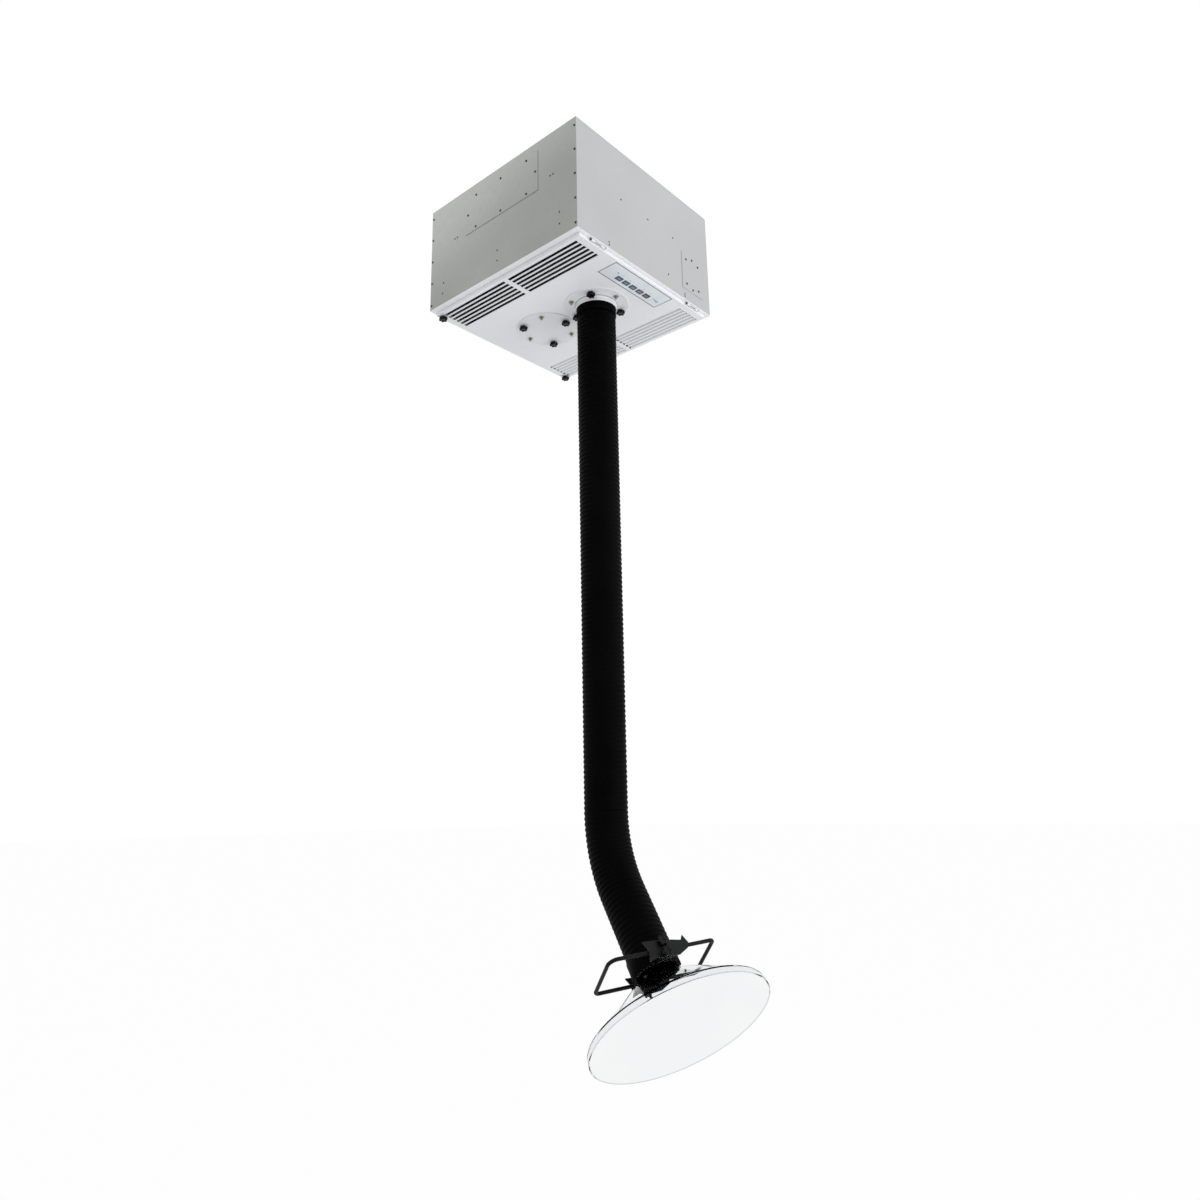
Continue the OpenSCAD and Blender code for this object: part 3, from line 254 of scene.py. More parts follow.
FINISHES = {
    "galvanised": dict(dark="8E9494", light="B4B9B8", rough=(0.35, 0.55), metal=0.8, cloud=25.0,
                       grain=120.0, bump=0.04, speck=0.5),
    # The side sheet is set a little darker than the front sheet as painted shade of the side face,
    # and turns lighter towards its top as a painted reflection
    "side_sheet": dict(dark="959893", light="A4A7A2", rough=(0.3, 0.46), metal=0.75, cloud=2.6,
                       grain=700.0, stretch=(1, 1, 0.05), bump=0.035, speck=0.3,
                       turning=("C0C3C0", (0, 0.35, 1), -0.25, 0.1)),
    "front_sheet": dict(dark="B9BBBD", light="C5C7C9", rough=(0.3, 0.46), metal=0.6, cloud=2.2,
                        grain=700.0, stretch=(1, 1, 0.05), bump=0.03, speck=0.25),
    "white_paint": dict(dark="E9EAEE", light="F1F2F5", rough=(0.3, 0.42), cloud=5.0, grain=1500.0,
                        bump=0.05, speck=0.1),
    "screw_steel": dict(dark="1E2022", light="3A3C3E", rough=(0.3, 0.5), metal=0.6, cloud=90.0),
    "hinge_steel": dict(dark="E0E2E6", light="E9EBEE", rough=(0.35, 0.5), metal=0.1, cloud=40.0,
                        stretch=(0.1, 1, 1)),
    "dark_plastic": dict(dark="1C1D1F", light="2B2C2E", rough=(0.4, 0.6), cloud=30.0),
    "filter_white": dict(dark="D3D5D2", light="ECEDE9", rough=(0.7, 0.9), cloud=40.0, grain=500.0,
                         bump=0.3),
    "filter_carbon": dict(dark="1F2021", light="3B3C3D", rough=(0.7, 0.9), cloud=60.0, grain=400.0,
                          bump=0.6),
    "motor_black": dict(dark="141516", light="26272A", rough=(0.35, 0.55), cloud=30.0),
    "impeller_blue": dict(dark="31506E", light="42658A", rough=(0.35, 0.5), cloud=30.0),
    "gasket_rubber": dict(dark="1B1B1C", light="2C2C2D", rough=(0.7, 0.9), cloud=50.0, grain=600.0,
                          bump=0.4),
    "overlay_film": dict(dark="DDE4EA", light="E9EEF2", rough=(0.22, 0.34), cloud=14.0,
                         grain=2000.0, bump=0.02, speck=0.15),
    "board_green": dict(dark="123D22", light="1F5B33", rough=(0.35, 0.5), cloud=60.0),
    "plate_grey": dict(dark="E1E3E6", light="EAECEF", rough=(0.32, 0.45), cloud=8.0, grain=1500.0,
                       bump=0.05, speck=0.1),
    "collar_white": dict(dark="E6E8EA", light="F0F1F2", rough=(0.35, 0.5), cloud=12.0,
                         grain=1200.0, bump=0.04, speck=0.1),
    "sealant_grey": dict(dark="8F9B95", light="A3ADA7", rough=(0.4, 0.6), cloud=40.0),
    "nut_brass": dict(dark="857650", light="A89A74", rough=(0.22, 0.38), metal=0.8, cloud=120.0),
    "washer_grey": dict(dark="A8AAA7", light="BFC0BD", rough=(0.3, 0.45), metal=0.5, cloud=90.0),
    "cap_grey": dict(dark="8D918A", light="A7ABA3", rough=(0.3, 0.45), metal=0.5, cloud=90.0),
    "key_blue": dict(dark="74818F", light="87929F", rough=(0.4, 0.55), cloud=60.0, grain=1800.0),
    "key_grey": dict(dark="6A7076", light="7A8086", rough=(0.4, 0.55), cloud=60.0, grain=1800.0),
    "print_blue": dict(dark="1B3A63", light="26496F", rough=(0.4, 0.55), cloud=80.0),
    "print_slate": dict(dark="24384F", light="30475F", rough=(0.4, 0.55), cloud=80.0),
    "print_pale": dict(dark="7FA6C9", light="93B6D4", rough=(0.4, 0.55), cloud=80.0),
    "lens_green": dict(dark="15191A", light="22292B", rough=(0.15, 0.25), cloud=200.0),
    "knob_black": dict(dark="040405", light="0B0C0D", rough=(0.3, 0.44), cloud=80.0, grain=1500.0,
                       bump=0.1, Specular_IOR_Level=0.15),
    "hose_black": dict(dark="020202", light="070708", rough=(0.42, 0.58), cloud=9.0, grain=900.0,
                       bump=0.18, speck=0.4, Specular_IOR_Level=0.02),
    "rod_black": dict(dark="060607", light="0D0D0E", rough=(0.32, 0.46), cloud=30.0, grain=1400.0,
                      bump=0.08, Specular_IOR_Level=0.15),
    "clamp_grey": dict(dark="101112", light="1A1B1C", rough=(0.4, 0.58), cloud=40.0, grain=1200.0,
                       bump=0.12, Specular_IOR_Level=0.2),
    "hood_clear": dict(dark="F3F4F5", light="F7F8F8", rough=(0.01, 0.03), cloud=6.0, grain=60.0,
                       bump=0.01, speck=0.1, tinted="BCC4C7", Transmission_Weight=1.0, IOR=1.04),
}
MATERIALS = {name: finish_material(name, **spec) for name, spec in FINISHES.items()}


# Pieces


def add_piece(name, verts, faces, body, slot, material=None, matrix=None, smooth=True,
              stands_for=()):
    """A mesh piece in millimetres, set by a matrix and riding on a body (or on none yet)."""
    mesh = bpy.data.meshes.new(name)
    mesh.from_pydata([Vector(v) * MM for v in verts], [], faces)
    mesh.validate()
    if matrix is not None:
        mesh.transform(matrix)
    mesh.calc_loop_triangles()
    corners = [[mesh.vertices[v].co for v in t.vertices] for t in mesh.loop_triangles]
    if sum(a.dot(b.cross(c)) for a, b, c in corners) < 0:
        mesh.flip_normals()
    for polygon in mesh.polygons:
        polygon.use_smooth = smooth
    mesh.materials.append(MATERIALS[material or slot])
    piece = bpy.data.objects.new(name, mesh)
    scene.collection.objects.link(piece)
    if body:
        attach(piece, body)
    if stands_for:
        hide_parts(*stands_for)
    return piece


# Edges sharper than these angles in degrees stay sharp
SHARP = 50
NUT_SHARP = 25


def sharpen(piece, angle):
    """Smooth shading that breaks at edges sharper than an angle in degrees."""
    limit = math.radians(angle)
    mesh = piece.data
    normals = [p.normal.copy() for p in mesh.polygons]
    touching = {}
    for p in mesh.polygons:
        for key in p.edge_keys:
            touching.setdefault(key, []).append(p.index)
    for edge in mesh.edges:
        near = touching.get(edge.key, [])
        if len(near) == 2:
            edge.use_edge_sharp = normals[near[0]].angle(normals[near[1]], 0) > limit


def loft(rings, closed=False):
    """Points and faces of a skin over rings of equally many points, with ends unless closed."""
    count = len(rings[0])
    verts = [p for ring in rings for p in ring]
    steps = len(rings) if closed else len(rings) - 1
    faces = []
    for i in range(steps):
        a, b = i * count, (i + 1) % len(rings) * count
        for k in range(count):
            n = (k + 1) % count
            faces.append((a + k, a + n, b + n, b + k))
    if not closed:
        faces.append(tuple(reversed(range(count))))
        faces.append(tuple(range((len(rings) - 1) * count, len(rings) * count)))
    return verts, faces


def circle(radius, z, count):
    """A ring of points about the z axis."""
    return [(radius * math.cos(k * TURN / count), radius * math.sin(k * TURN / count), z)
            for k in range(count)]


# A rounding takes at most this share of a side
MOST_OF_SIDE = 0.45


def rounded(corners, steps=4):
    """A closed outline whose corners (x, y, radius) are rounded."""
    outline = []
    for i, (x, y, radius) in enumerate(corners):
        if radius == 0:
            outline.append((x, y))
            continue
        here = Vector((x, y))
        before = Vector(corners[i - 1][:2]) - here
        after = Vector(corners[(i + 1) % len(corners)][:2]) - here
        half = before.angle(after) / 2
        reach = min(radius / math.tan(half), MOST_OF_SIDE * min(before.length, after.length))
        start, end = here + before.normalized() * reach, here + after.normalized() * reach
        for s in range(steps + 1):
            t = s / steps
            point = (1 - t) ** 2 * start + 2 * t * (1 - t) * here + t**2 * end
            outline.append((point.x, point.y))
    return outline


def lathe(outline, count):
    """A closed (radius, z) outline turned about the z axis."""
    return loft([circle(r, z, count) for r, z in outline], closed=True)


def hose_ring(radius, lean, drop, count):
    """A ring of the hose, leaning along the bend or dropped along a straight."""
    ring = []
    for k in range(count):
        x, y = radius * math.cos(k * TURN / count), radius * math.sin(k * TURN / count)
        ring.append((BEND_R * (1 - math.cos(lean)) + x * math.cos(lean), y,
                     x * math.sin(lean) - BEND_R * math.sin(lean) - drop))
    return ring


RIB_STEPS = 8
HOSE_SIDES = 72
CREST_POWER = 0.8


def ribbed_tube(length, drop, lean):
    """A hose of rounded ribs with its bore, as long as its CAD node."""
    ribs = round(length / RIB_PITCH)
    rings = []
    for i in range(ribs * RIB_STEPS + 1):
        share = i / (ribs * RIB_STEPS)
        wave = (0.5 - 0.5 * math.cos(TURN * i / RIB_STEPS)) ** CREST_POWER
        radius = VALLEY_R + (HOSE_R - VALLEY_R) * wave
        rings.append(hose_ring(radius, lean * share, drop * share, HOSE_SIDES))
    for i in reversed(range(ribs + 1)):
        rings.append(hose_ring(BORE_R, lean * i / ribs, drop * i / ribs, HOSE_SIDES))
    return loft(rings, closed=True)


top_flex = add_piece("hose_top_flex_ribs", *ribbed_tube(FLEX_L, FLEX_L, 0), None, "hose_black",
                     matrix=place(0, -INLET_Y, Z_FLEX), stands_for=["hose_top_flex"])
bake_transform(top_flex)
add_piece("hose_main_ribs", *ribbed_tube(MAIN_L, MAIN_L, 0), "hose", "hose_black",
          matrix=place(0, -INLET_Y, Z_MAIN), stands_for=["hose_main"])
bend = add_piece("hose_bend_ribs", *ribbed_tube(BEND_R * BEND_ANGLE, 0, BEND_ANGLE), None,
                 "hose_black", matrix=BEND, stands_for=["hose_bend"])
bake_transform(bend)
add_piece("hose_lower_ribs", *ribbed_tube(LOWER_L, LOWER_L, 0), "hose_end", "hose_black",
          matrix=ARM, stands_for=["hose_lower"])


# Star knobs: (inset of the lobes, z) from the outer face to the foot
KNOB_SECTIONS = [(2.0, -13.0), (0.9, -12.8), (0.25, -12.2), (0.0, -11.2), (0.0, -5.2), (0.25, -4.2),
                 (0.8, -3.4), (1.6, -3.1)]
KNOB_POINTS = 96
DIMPLE = [(5.6, -13.0), (5.1, -12.6), (4.6, -12.4)]
CHAMFER = 0.5
THREAD_PITCH = 1.0
THREAD_DEPTH = 0.28
STUD_SIDES = 24


def star(inset, z):
    """A ring of points along a knob's lobes."""
    ring = []
    for k in range(KNOB_POINTS):
        a = k * TURN / KNOB_POINTS
        radius = KNOB_R - inset - LOBE_DEPTH * (1 - math.cos(LOBES * a)) / 2
        ring.append((radius * math.cos(a), radius * math.sin(a), z))
    return ring


def add_knob(name, matrix, stud_l):
    """A star knob with a dimpled cap and a threaded stud, hanging down from its own z = 0."""
    rings = [circle(r, z, KNOB_POINTS) for r, z in reversed(DIMPLE)]
    rings += [star(inset, z) for inset, z in KNOB_SECTIONS]
    rings += [circle(KNOB_FOOT_R + CHAMFER, -KNOB_FOOT_H, KNOB_POINTS),
              circle(KNOB_FOOT_R, -KNOB_FOOT_H + CHAMFER, KNOB_POINTS),
              circle(KNOB_FOOT_R, 0, KNOB_POINTS)]
    verts, faces = loft(rings)
    stud = [circle(STUD_R - THREAD_DEPTH, -CHAMFER, STUD_SIDES)]
    turns = int((stud_l - THREAD_PITCH) / THREAD_PITCH)
    for i in range(turns):
        stud.append(circle(STUD_R - THREAD_DEPTH, i * THREAD_PITCH, STUD_SIDES))
        stud.append(circle(STUD_R, (i + 0.5) * THREAD_PITCH, STUD_SIDES))
    stud.append(circle(STUD_R - THREAD_DEPTH, turns * THREAD_PITCH, STUD_SIDES))
    stud.append(circle(STUD_R - 2 * THREAD_DEPTH, stud_l, STUD_SIDES))
    stud_verts, stud_faces = loft(stud)
    first = len(verts)
    faces += [tuple(first + v for v in face) for face in stud_faces]
    knob = add_piece(name + "_star", verts + stud_verts, faces, name, "knob_black", matrix=matrix,
                     stands_for=[name])
    knob.data.materials.append(MATERIALS["hinge_steel"])
    for polygon in knob.data.polygons[-len(stud_faces):]:
        polygon.material_index = 1
    sharpen(knob, SHARP)


HANGING_KNOBS = ["door_knob_left", "door_knob_right", "inlet_knob_1", "inlet_knob_2",
                 "inlet_knob_3", "blank_knob_1", "blank_knob_2", "blank_knob_3"]
for knob_name in HANGING_KNOBS:
    low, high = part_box(knob_name)
    middle, base = (low + high) / 2, low.z + KNOB_H * MM
    add_knob(knob_name, Matrix.Translation((middle.x, middle.y, base)), (high.z - base) / MM)
CLAMP_PLACES = [(0, 1), (0, -1), (1, 1), (1, -1)]
for number, (side, up) in enumerate(CLAMP_PLACES, 1):
    knob_name = f"clamp_knob_{number}"
    knob_place = (
        HANDLE
        @ Matrix.Rotation(math.pi * side, 4, "Z")
        @ place(0, CLAMP_FACE + KNOB_GAP, up * CLAMP_KNOB_UP)
        @ Matrix.Rotation(math.pi / 2, 4, "X")
    )
    add_knob(knob_name, knob_place, CLAMP_STUD_L)


# Hood
def cone_z(radius):
    """The height of the hood's outer face at a radius."""
    return -NECK_OUT - FLARE_DROP - (radius - NECK_R - FLARE) * CONE_SLOPE


CONE_DROP = HOOD_T / math.cos(math.atan(CONE_SLOPE))
NEAR_LIP = 10
HOOD_OUTLINE = [
    (NECK_R, NECK_IN, 1), (NECK_R, -NECK_OUT, 6), (NECK_R + FLARE, cone_z(NECK_R + FLARE), 6),
    (CONE_R - NEAR_LIP, cone_z(CONE_R - NEAR_LIP), 0),
    (CONE_R, cone_z(CONE_R), 5), (RIM_R, -HOOD_H, 1.2), (RIM_R - HOOD_T, -HOOD_H, 1.2),
    (CONE_R - HOOD_T, cone_z(CONE_R - HOOD_T) - CONE_DROP, 4),
    (CONE_R - NEAR_LIP, cone_z(CONE_R - NEAR_LIP) - CONE_DROP, 0),
    (NECK_R + FLARE, cone_z(NECK_R + FLARE) - CONE_DROP, 5),
    (NECK_R - HOOD_T, -NECK_OUT - HOOD_T / 2, 5), (NECK_R - HOOD_T, NECK_IN, 1),
]
HOOD = ARM @ place(0, 0, -ARM_L)
HOOD_SIDES = 216
HOOD_CORNER_STEPS = 8
LIP_STEP = 1.5
TINT_W = 2.4
NECK_SLEEVE_LOW = -0.5


def finer(outline, step):
    """An outline with its longer sides split where it forms the lip."""
    points = []
    for (r0, z0), (r1, z1) in zip(outline, outline[1:] + outline[:1]):
        count = 1
        if max(z0, z1) < cone_z(CONE_R - NEAR_LIP) + step:
            count = max(1, round(math.hypot(r1 - r0, z1 - z0) / step))
        points += [(r0 + (r1 - r0) * k / count, z0 + (z1 - z0) * k / count) for k in range(count)]
    return points


# The cut edge of the clear sheet looks grey
hood_verts, hood_faces = lathe(finer(rounded(HOOD_OUTLINE, HOOD_CORNER_STEPS), LIP_STEP),
                               HOOD_SIDES)
hood = add_piece("hood_shell", hood_verts, hood_faces, "hose_end", "hood_clear", matrix=HOOD,
                 stands_for=["hood"])
tint = hood.data.attributes.new("tint", "FLOAT", "POINT")
tint.data.foreach_set("value", [
    max(0.0, 1 - (z + HOOD_H) / TINT_W) for x, y, z in hood_verts
])
# The neck sits in a black sleeve where it is inside the cuff
hood.data.materials.append(MATERIALS["hose_black"])
for face in hood.data.polygons:
    if all(hood_verts[v][2] > NECK_SLEEVE_LOW for v in face.vertices):
        face.material_index = 1


# Screws, rivets and nuts, set where the CAD solids of their nodes are


def solid_boxes(node_name):
    """The boxes of a node's separate solids, in metres."""
    mesh = frame["nodes"][node_name].data
    corner_of = {}
    for v in mesh.vertices:
        spot = tuple(round(c, 6) for c in v.co)
        corner_of.setdefault(spot, len(corner_of))
    spots = [corner_of[tuple(round(c, 6) for c in v.co)] for v in mesh.vertices]
    parent = list(range(len(corner_of)))

    def root(i):
        while parent[i] != i:
            parent[i] = parent[parent[i]]
            i = parent[i]
        return i

    for edge in mesh.edges:
        a, b = root(spots[edge.vertices[0]]), root(spots[edge.vertices[1]])
        parent[max(a, b)] = min(a, b)
    groups = {}
    for v in mesh.vertices:
        groups.setdefault(root(spots[v.index]), []).append(v.co)
    return [(Vector(map(min, zip(*group))), Vector(map(max, zip(*group))))
            for _, group in sorted(groups.items())]


def hexagon(radius, z, count):
    """A hexagon with as many points as a circle, its corners at that radius."""
    ring = []
    for k in range(count):
        a = k * TURN / count
        reach = radius * math.cos(TURN / 12) / math.cos(a % (TURN / 6) - TURN / 12)
        ring.append((reach * math.cos(a), reach * math.sin(a), z))
    return ring


def moved(part, matrix):
    """Points in millimetres put through a matrix in metres."""
    verts, faces = part
    return [tuple((matrix @ (Vector(v) * MM)) / MM) for v in verts], faces


def out_of_panel(low, high):
    """The frame at a screw's place on a panel, with z pointing out of the panel."""
    sides = ((low.x, 0), (high.x, 0), (low.y, 1), (high.y, 1))
    outer, axis = max(sides, key=lambda side: abs(side[0]))
    spot = (low + high) / 2
    spot[axis] = outer
    direction = Vector((0, 0, 0))
    direction[axis] = math.copysign(1, outer)
    return Matrix.Translation(spot) @ direction.to_track_quat("Z", "Y").to_matrix().to_4x4()


ROUND = 24
SCREW_HEAD = 1.6
SCREW_R = 3.4
RIVET_HEAD = 0.9
RIVET_R = 2.6
screw = loft([
    hexagon(1.3, -1.1, ROUND), hexagon(1.35, -0.1, ROUND), circle(1.9, 0, ROUND),
    circle(2.6, -0.25, ROUND), circle(3.15, -0.75, ROUND), circle(SCREW_R, -1.3, ROUND),
    circle(SCREW_R, -SCREW_HEAD, ROUND), circle(1.5, -SCREW_HEAD, ROUND), circle(1.5, -6.4, ROUND),
])
rivet = loft([
    circle(0.8, -0.7, ROUND), circle(0.85, -0.05, ROUND), circle(1.3, 0, ROUND),
    circle(2.0, -0.25, ROUND), circle(RIVET_R, -0.75, ROUND), circle(RIVET_R, -RIVET_HEAD, ROUND),
    circle(1.6, -RIVET_HEAD, ROUND), circle(1.6, -3.8, ROUND),
])


def joined(parts):
    """One set of points and faces from several."""
    verts, faces = [], []
    for part_verts, part_faces in parts:
        first = len(verts)
        verts += part_verts
        faces += [tuple(first + v for v in face) for face in part_faces]
    return verts, faces


for node_name, part in (("panel_screws", screw), ("rivets", rivet)):
    parts = [moved(part, out_of_panel(*box)) for box in solid_boxes(node_name)]
    heads = add_piece(node_name + "_heads", *joined(parts), "cabinet", "screw_steel",
                      stands_for=[node_name])
    sharpen(heads, SHARP)

hood_nut = loft([
    circle(1.6, -HOOD_T - 0.3, ROUND), hexagon(2.9, -HOOD_T - 0.3, ROUND),
    hexagon(3.0, -HOOD_T - 0.6, ROUND), hexagon(3.0, -HOOD_T - 1.6, ROUND),
    circle(2.3, -HOOD_T - 1.8, ROUND), circle(1.6, -HOOD_T - 1.8, ROUND),
])
hood_fixings = []
for i in range(HOOD_SCREWS):
    spot = (
        HOOD
        @ Matrix.Rotation(math.radians(HOOD_SCREW_TURN + i * 360 / HOOD_SCREWS), 4, "Z")
        @ place(HOOD_SCREW_AT, 0, cone_z(HOOD_SCREW_AT))
        @ Matrix.Rotation(math.atan(CONE_SLOPE), 4, "Y")
    )
    hood_fixings.append(moved(screw, spot @ place(0, 0, SCREW_HEAD)))
    hood_fixings.append(moved(hood_nut, spot))
fixings = add_piece("hood_screw_heads", *joined(hood_fixings), "hose_end", "screw_steel",
                    stands_for=["hood_screws"])
sharpen(fixings, SHARP)

WASHER_R = 9
WASHER_T = 1
WASHER_BORE = 2.7
WASHER_SIDES = 40
NUT_R = 5
NUT_H = 4.5
NUT_BORE = 2.4
CAP_R = 3.6
CAP_L = 4.2
NUT_TOP = -WASHER_T
NUT_LOW = NUT_TOP - NUT_H
BACK = SKIN_TOP - PLATE_LOW
washer = lathe(rounded([(WASHER_BORE, 0, 0), (WASHER_R, 0, 0.3), (WASHER_R, -WASHER_T, 0.4),
                        (WASHER_BORE, -WASHER_T, 0.2)]), WASHER_SIDES)
front_nut = loft([
    circle(NUT_BORE, NUT_TOP, ROUND), circle(4.2, NUT_TOP, ROUND),
    hexagon(NUT_R, NUT_TOP - 0.4, ROUND), hexagon(NUT_R, NUT_LOW + 0.5, ROUND),
    circle(4.1, NUT_LOW, ROUND), circle(NUT_BORE, NUT_LOW, ROUND),
])
stud_cap = loft([
    circle(NUT_BORE, NUT_LOW + 0.1, ROUND), circle(CAP_R - 0.3, NUT_LOW, ROUND),
    circle(CAP_R, NUT_LOW - 0.3, ROUND), circle(CAP_R, NUT_LOW - CAP_L + 1.5, ROUND),
    circle(CAP_R * 0.8, NUT_LOW - CAP_L + 0.4, ROUND), circle(CAP_R * 0.3, NUT_LOW - CAP_L, ROUND),
])


def back_nut(stud_end):
    """A nut behind the door's skin with the stud through it."""
    return loft([
        circle(NUT_BORE, NUT_TOP, ROUND), circle(NUT_BORE, BACK, ROUND),
        hexagon(4.9, BACK, ROUND), hexagon(NUT_R, BACK + 0.4, ROUND),
        hexagon(NUT_R, BACK + NUT_H - 0.4, ROUND), circle(4.1, BACK + NUT_H, ROUND),
        circle(NUT_BORE, BACK + NUT_H, ROUND), circle(NUT_BORE, stud_end, ROUND),
    ])


washers, nuts, tips = [], [], []
for low, high in solid_boxes("plate_nuts"):
    spot = Matrix.Translation(((low.x + high.x) / 2, (low.y + high.y) / 2, PLATE_LOW * MM))
    washers.append(moved(washer, spot))
    nuts.append(moved(front_nut, spot))
    tips.append(moved(stud_cap, spot))
    nuts.append(moved(back_nut(high.z / MM - PLATE_LOW), spot))
washer_piece = add_piece("plate_washers", *joined(washers), "door", "nut_brass", "washer_grey")
nut_piece = add_piece("plate_hex_nuts", *joined(nuts), "door", "nut_brass",
                      stands_for=["plate_nuts"])
add_piece("plate_stud_caps", *joined(tips), "door", "nut_brass", "cap_grey")
sharpen(washer_piece, SHARP)
sharpen(nut_piece, NUT_SHARP)


# The collar's sleeve around the top cuff, and a bead of sealant at the collar's foot
SLEEVE_H = 7.5
SLEEVE_BORE = 58.9
SLEEVE_LAP = 0.5
COLLAR_SIDES = 96
INLET = place(0, -INLET_Y, 0)
sleeve = [(SLEEVE_BORE, COLLAR_LOW + SLEEVE_LAP, 0), (COLLAR_R - 1, COLLAR_LOW + SLEEVE_LAP, 0),
          (COLLAR_R - 1, COLLAR_LOW - SLEEVE_H, 0.8), (SLEEVE_BORE, COLLAR_LOW - SLEEVE_H, 0.4)]
add_piece("collar_sleeve", *lathe(rounded(sleeve), COLLAR_SIDES), "door", "collar_white",
          matrix=INLET)
bead = [(COLLAR_R - 0.3, PLATE_LOW + 0.3, 0), (COLLAR_R + 1.6, PLATE_LOW + 0.3, 0),
        (COLLAR_R + 1.2, PLATE_LOW - 0.9, 0.5), (COLLAR_R - 0.3, PLATE_LOW - 1.6, 0)]
add_piece("collar_bead", *lathe(rounded(bead), COLLAR_SIDES), "door", "collar_white",
          "sealant_grey", matrix=INLET)

# Dark caps on the ends of the hinge pins, and a dark rod along each door knuckle that paints the
# knuckle's shade line
SHADE_LINE_HALF = 11.5
SHADE_LINE_UNDER = 2.5
SHADE_LINE_FRONT = 2.2
ALONG_X = Matrix.Rotation(math.pi / 2, 4, "Y")
pin_cap = loft([
    circle(1.2, -0.5, ROUND), circle(3.3, 0, ROUND), circle(3.3, 1.4, ROUND),
    circle(2.6, 2.2, ROUND), circle(1.0, 2.4, ROUND),
])
knuckle_shade = loft([
    circle(0.5, 0, ROUND), circle(0.8, 0.4, ROUND),
    circle(0.8, 2 * SHADE_LINE_HALF - 0.4, ROUND), circle(0.5, 2 * SHADE_LINE_HALF, ROUND),
])
pin_caps, knuckle_shades = [], []
for side in (-1, 1):
    for end in (-1, 1):
        spot = place(side * HINGE_X + end * HINGE_HALF, HINGE_Y, HINGE_Z)
        pin_caps.append(moved(pin_cap, spot @ Matrix.Rotation(end * math.pi / 2, 4, "Y")))
    # The rod of painted shade lies just under and in front of the knuckle
    spot = place(side * HINGE_X - SHADE_LINE_HALF, HINGE_Y - SHADE_LINE_FRONT, HINGE_Z - SHADE_LINE_UNDER)
    knuckle_shades.append(moved(knuckle_shade, spot @ ALONG_X))
add_piece("hinge_pin_caps", *joined(pin_caps), "cabinet", "hinge_steel", "screw_steel")
add_piece("hinge_knuckle_shade", *joined(knuckle_shades), "door", "hinge_steel", "screw_steel")

# Print on the control overlay
PRINT_OUT = 0.12
PRINT_IN = 0.05
PRINT_LOW = Z_DOOR - OVERLAY_T - PRINT_OUT
PRINT_HIGH = Z_DOOR - OVERLAY_T + PRINT_IN
ARC_STEPS = 24


def slab(outline, low, high):
    """A flat piece over a closed outline."""
    return loft([[(x, y, low) for x, y in reversed(outline)],
                 [(x, y, high) for x, y in reversed(outline)]])


def band_slab(outer, inner, low, high):
    """A flat ring between two closed outlines of equally many points."""
    return loft([[(x, y, low) for x, y in outer], [(x, y, high) for x, y in outer],
                 [(x, y, high) for x, y in inner], [(x, y, low) for x, y in inner]], closed=True)


def rectangle(x0, y0, x1, y1, radius):
    """The outline of a rectangle with rounded corners."""
    return rounded([(x0, y0, radius), (x1, y0, radius), (x1, y1, radius), (x0, y1, radius)])


def frame_band(x0, y0, x1, y1, width, low, high, radius):
    """A flat rectangular frame with rounded corners."""
    return band_slab(rectangle(x0, y0, x1, y1, radius),
                     rectangle(x0 + width, y0 + width, x1 - width, y1 - width, radius / 2),
                     low, high)


def bar(x0, y0, x1, y1):
    """A rectangle of print."""
    return slab([(x0, y0), (x1, y0), (x1, y1), (x0, y1)], PRINT_LOW, PRINT_HIGH)


def dial(x, y, radius, width, start=0.0, sweep=TURN):
    """An arc of print."""
    angles = [start + sweep * i / ARC_STEPS for i in range(ARC_STEPS + 1)]
    outer = [(x + radius * math.cos(a), y + radius * math.sin(a)) for a in angles]
    inner = [(x + (radius - width) * math.cos(a), y + (radius - width) * math.sin(a))
             for a in reversed(angles)]
    return slab(outer + inner, PRINT_LOW, PRINT_HIGH)


BORDER_IN = 1.0
BORDER_W = 2.2
BORDER_CORNER = 1.0
border = frame_band(-OVERLAY_HALF_W + BORDER_IN, -OVERLAY_FRONT + BORDER_IN,
                    OVERLAY_HALF_W - BORDER_IN, -OVERLAY_REAR - BORDER_IN, BORDER_W,
                    PRINT_LOW, PRINT_HIGH, BORDER_CORNER)
add_piece("overlay_border", *border, "door", "overlay_film", "print_blue", smooth=False)

ICON_Y = -256.5
ICON_R = 3.4
LINE_HALF = 0.4
POWER_W = 0.8
POWER_START = 2.1
POWER_SWEEP = 5.2
BLADES = 3
BLADE_AT = 1.7
BLADE_R = 1.5
BLADE_W = 0.6
SIGN_HALF = 3
PLUS_GAP = 0.45
LAMP_R = 2
LAMP_W = 0.7
RAY_NEAR = 2.6
RAY_FAR = 4
RAY_HALF = 0.3
# A power ring, a fan, a minus, a plus and a lamp, one over each key
x = -2 * KEY_PITCH
icons = [dial(x, ICON_Y, ICON_R, POWER_W, POWER_START, POWER_SWEEP),
         bar(x - LINE_HALF, ICON_Y, x + LINE_HALF, ICON_Y + ICON_R)]
x = -KEY_PITCH
for i in range(BLADES):
    blade_x = x + BLADE_AT * math.cos(i * TURN / BLADES)
    blade_y = ICON_Y + BLADE_AT * math.sin(i * TURN / BLADES)
    icons.append(dial(blade_x, blade_y, BLADE_R, BLADE_W))
x = 0
icons += [bar(x - SIGN_HALF, ICON_Y - LINE_HALF, x + SIGN_HALF, ICON_Y + LINE_HALF)]
x = KEY_PITCH
icons += [bar(x - SIGN_HALF, ICON_Y - LINE_HALF, x + SIGN_HALF, ICON_Y + LINE_HALF),
          bar(x - LINE_HALF, ICON_Y + PLUS_GAP, x + LINE_HALF, ICON_Y + SIGN_HALF),
          bar(x - LINE_HALF, ICON_Y - SIGN_HALF, x + LINE_HALF, ICON_Y - PLUS_GAP)]
x = 2 * KEY_PITCH
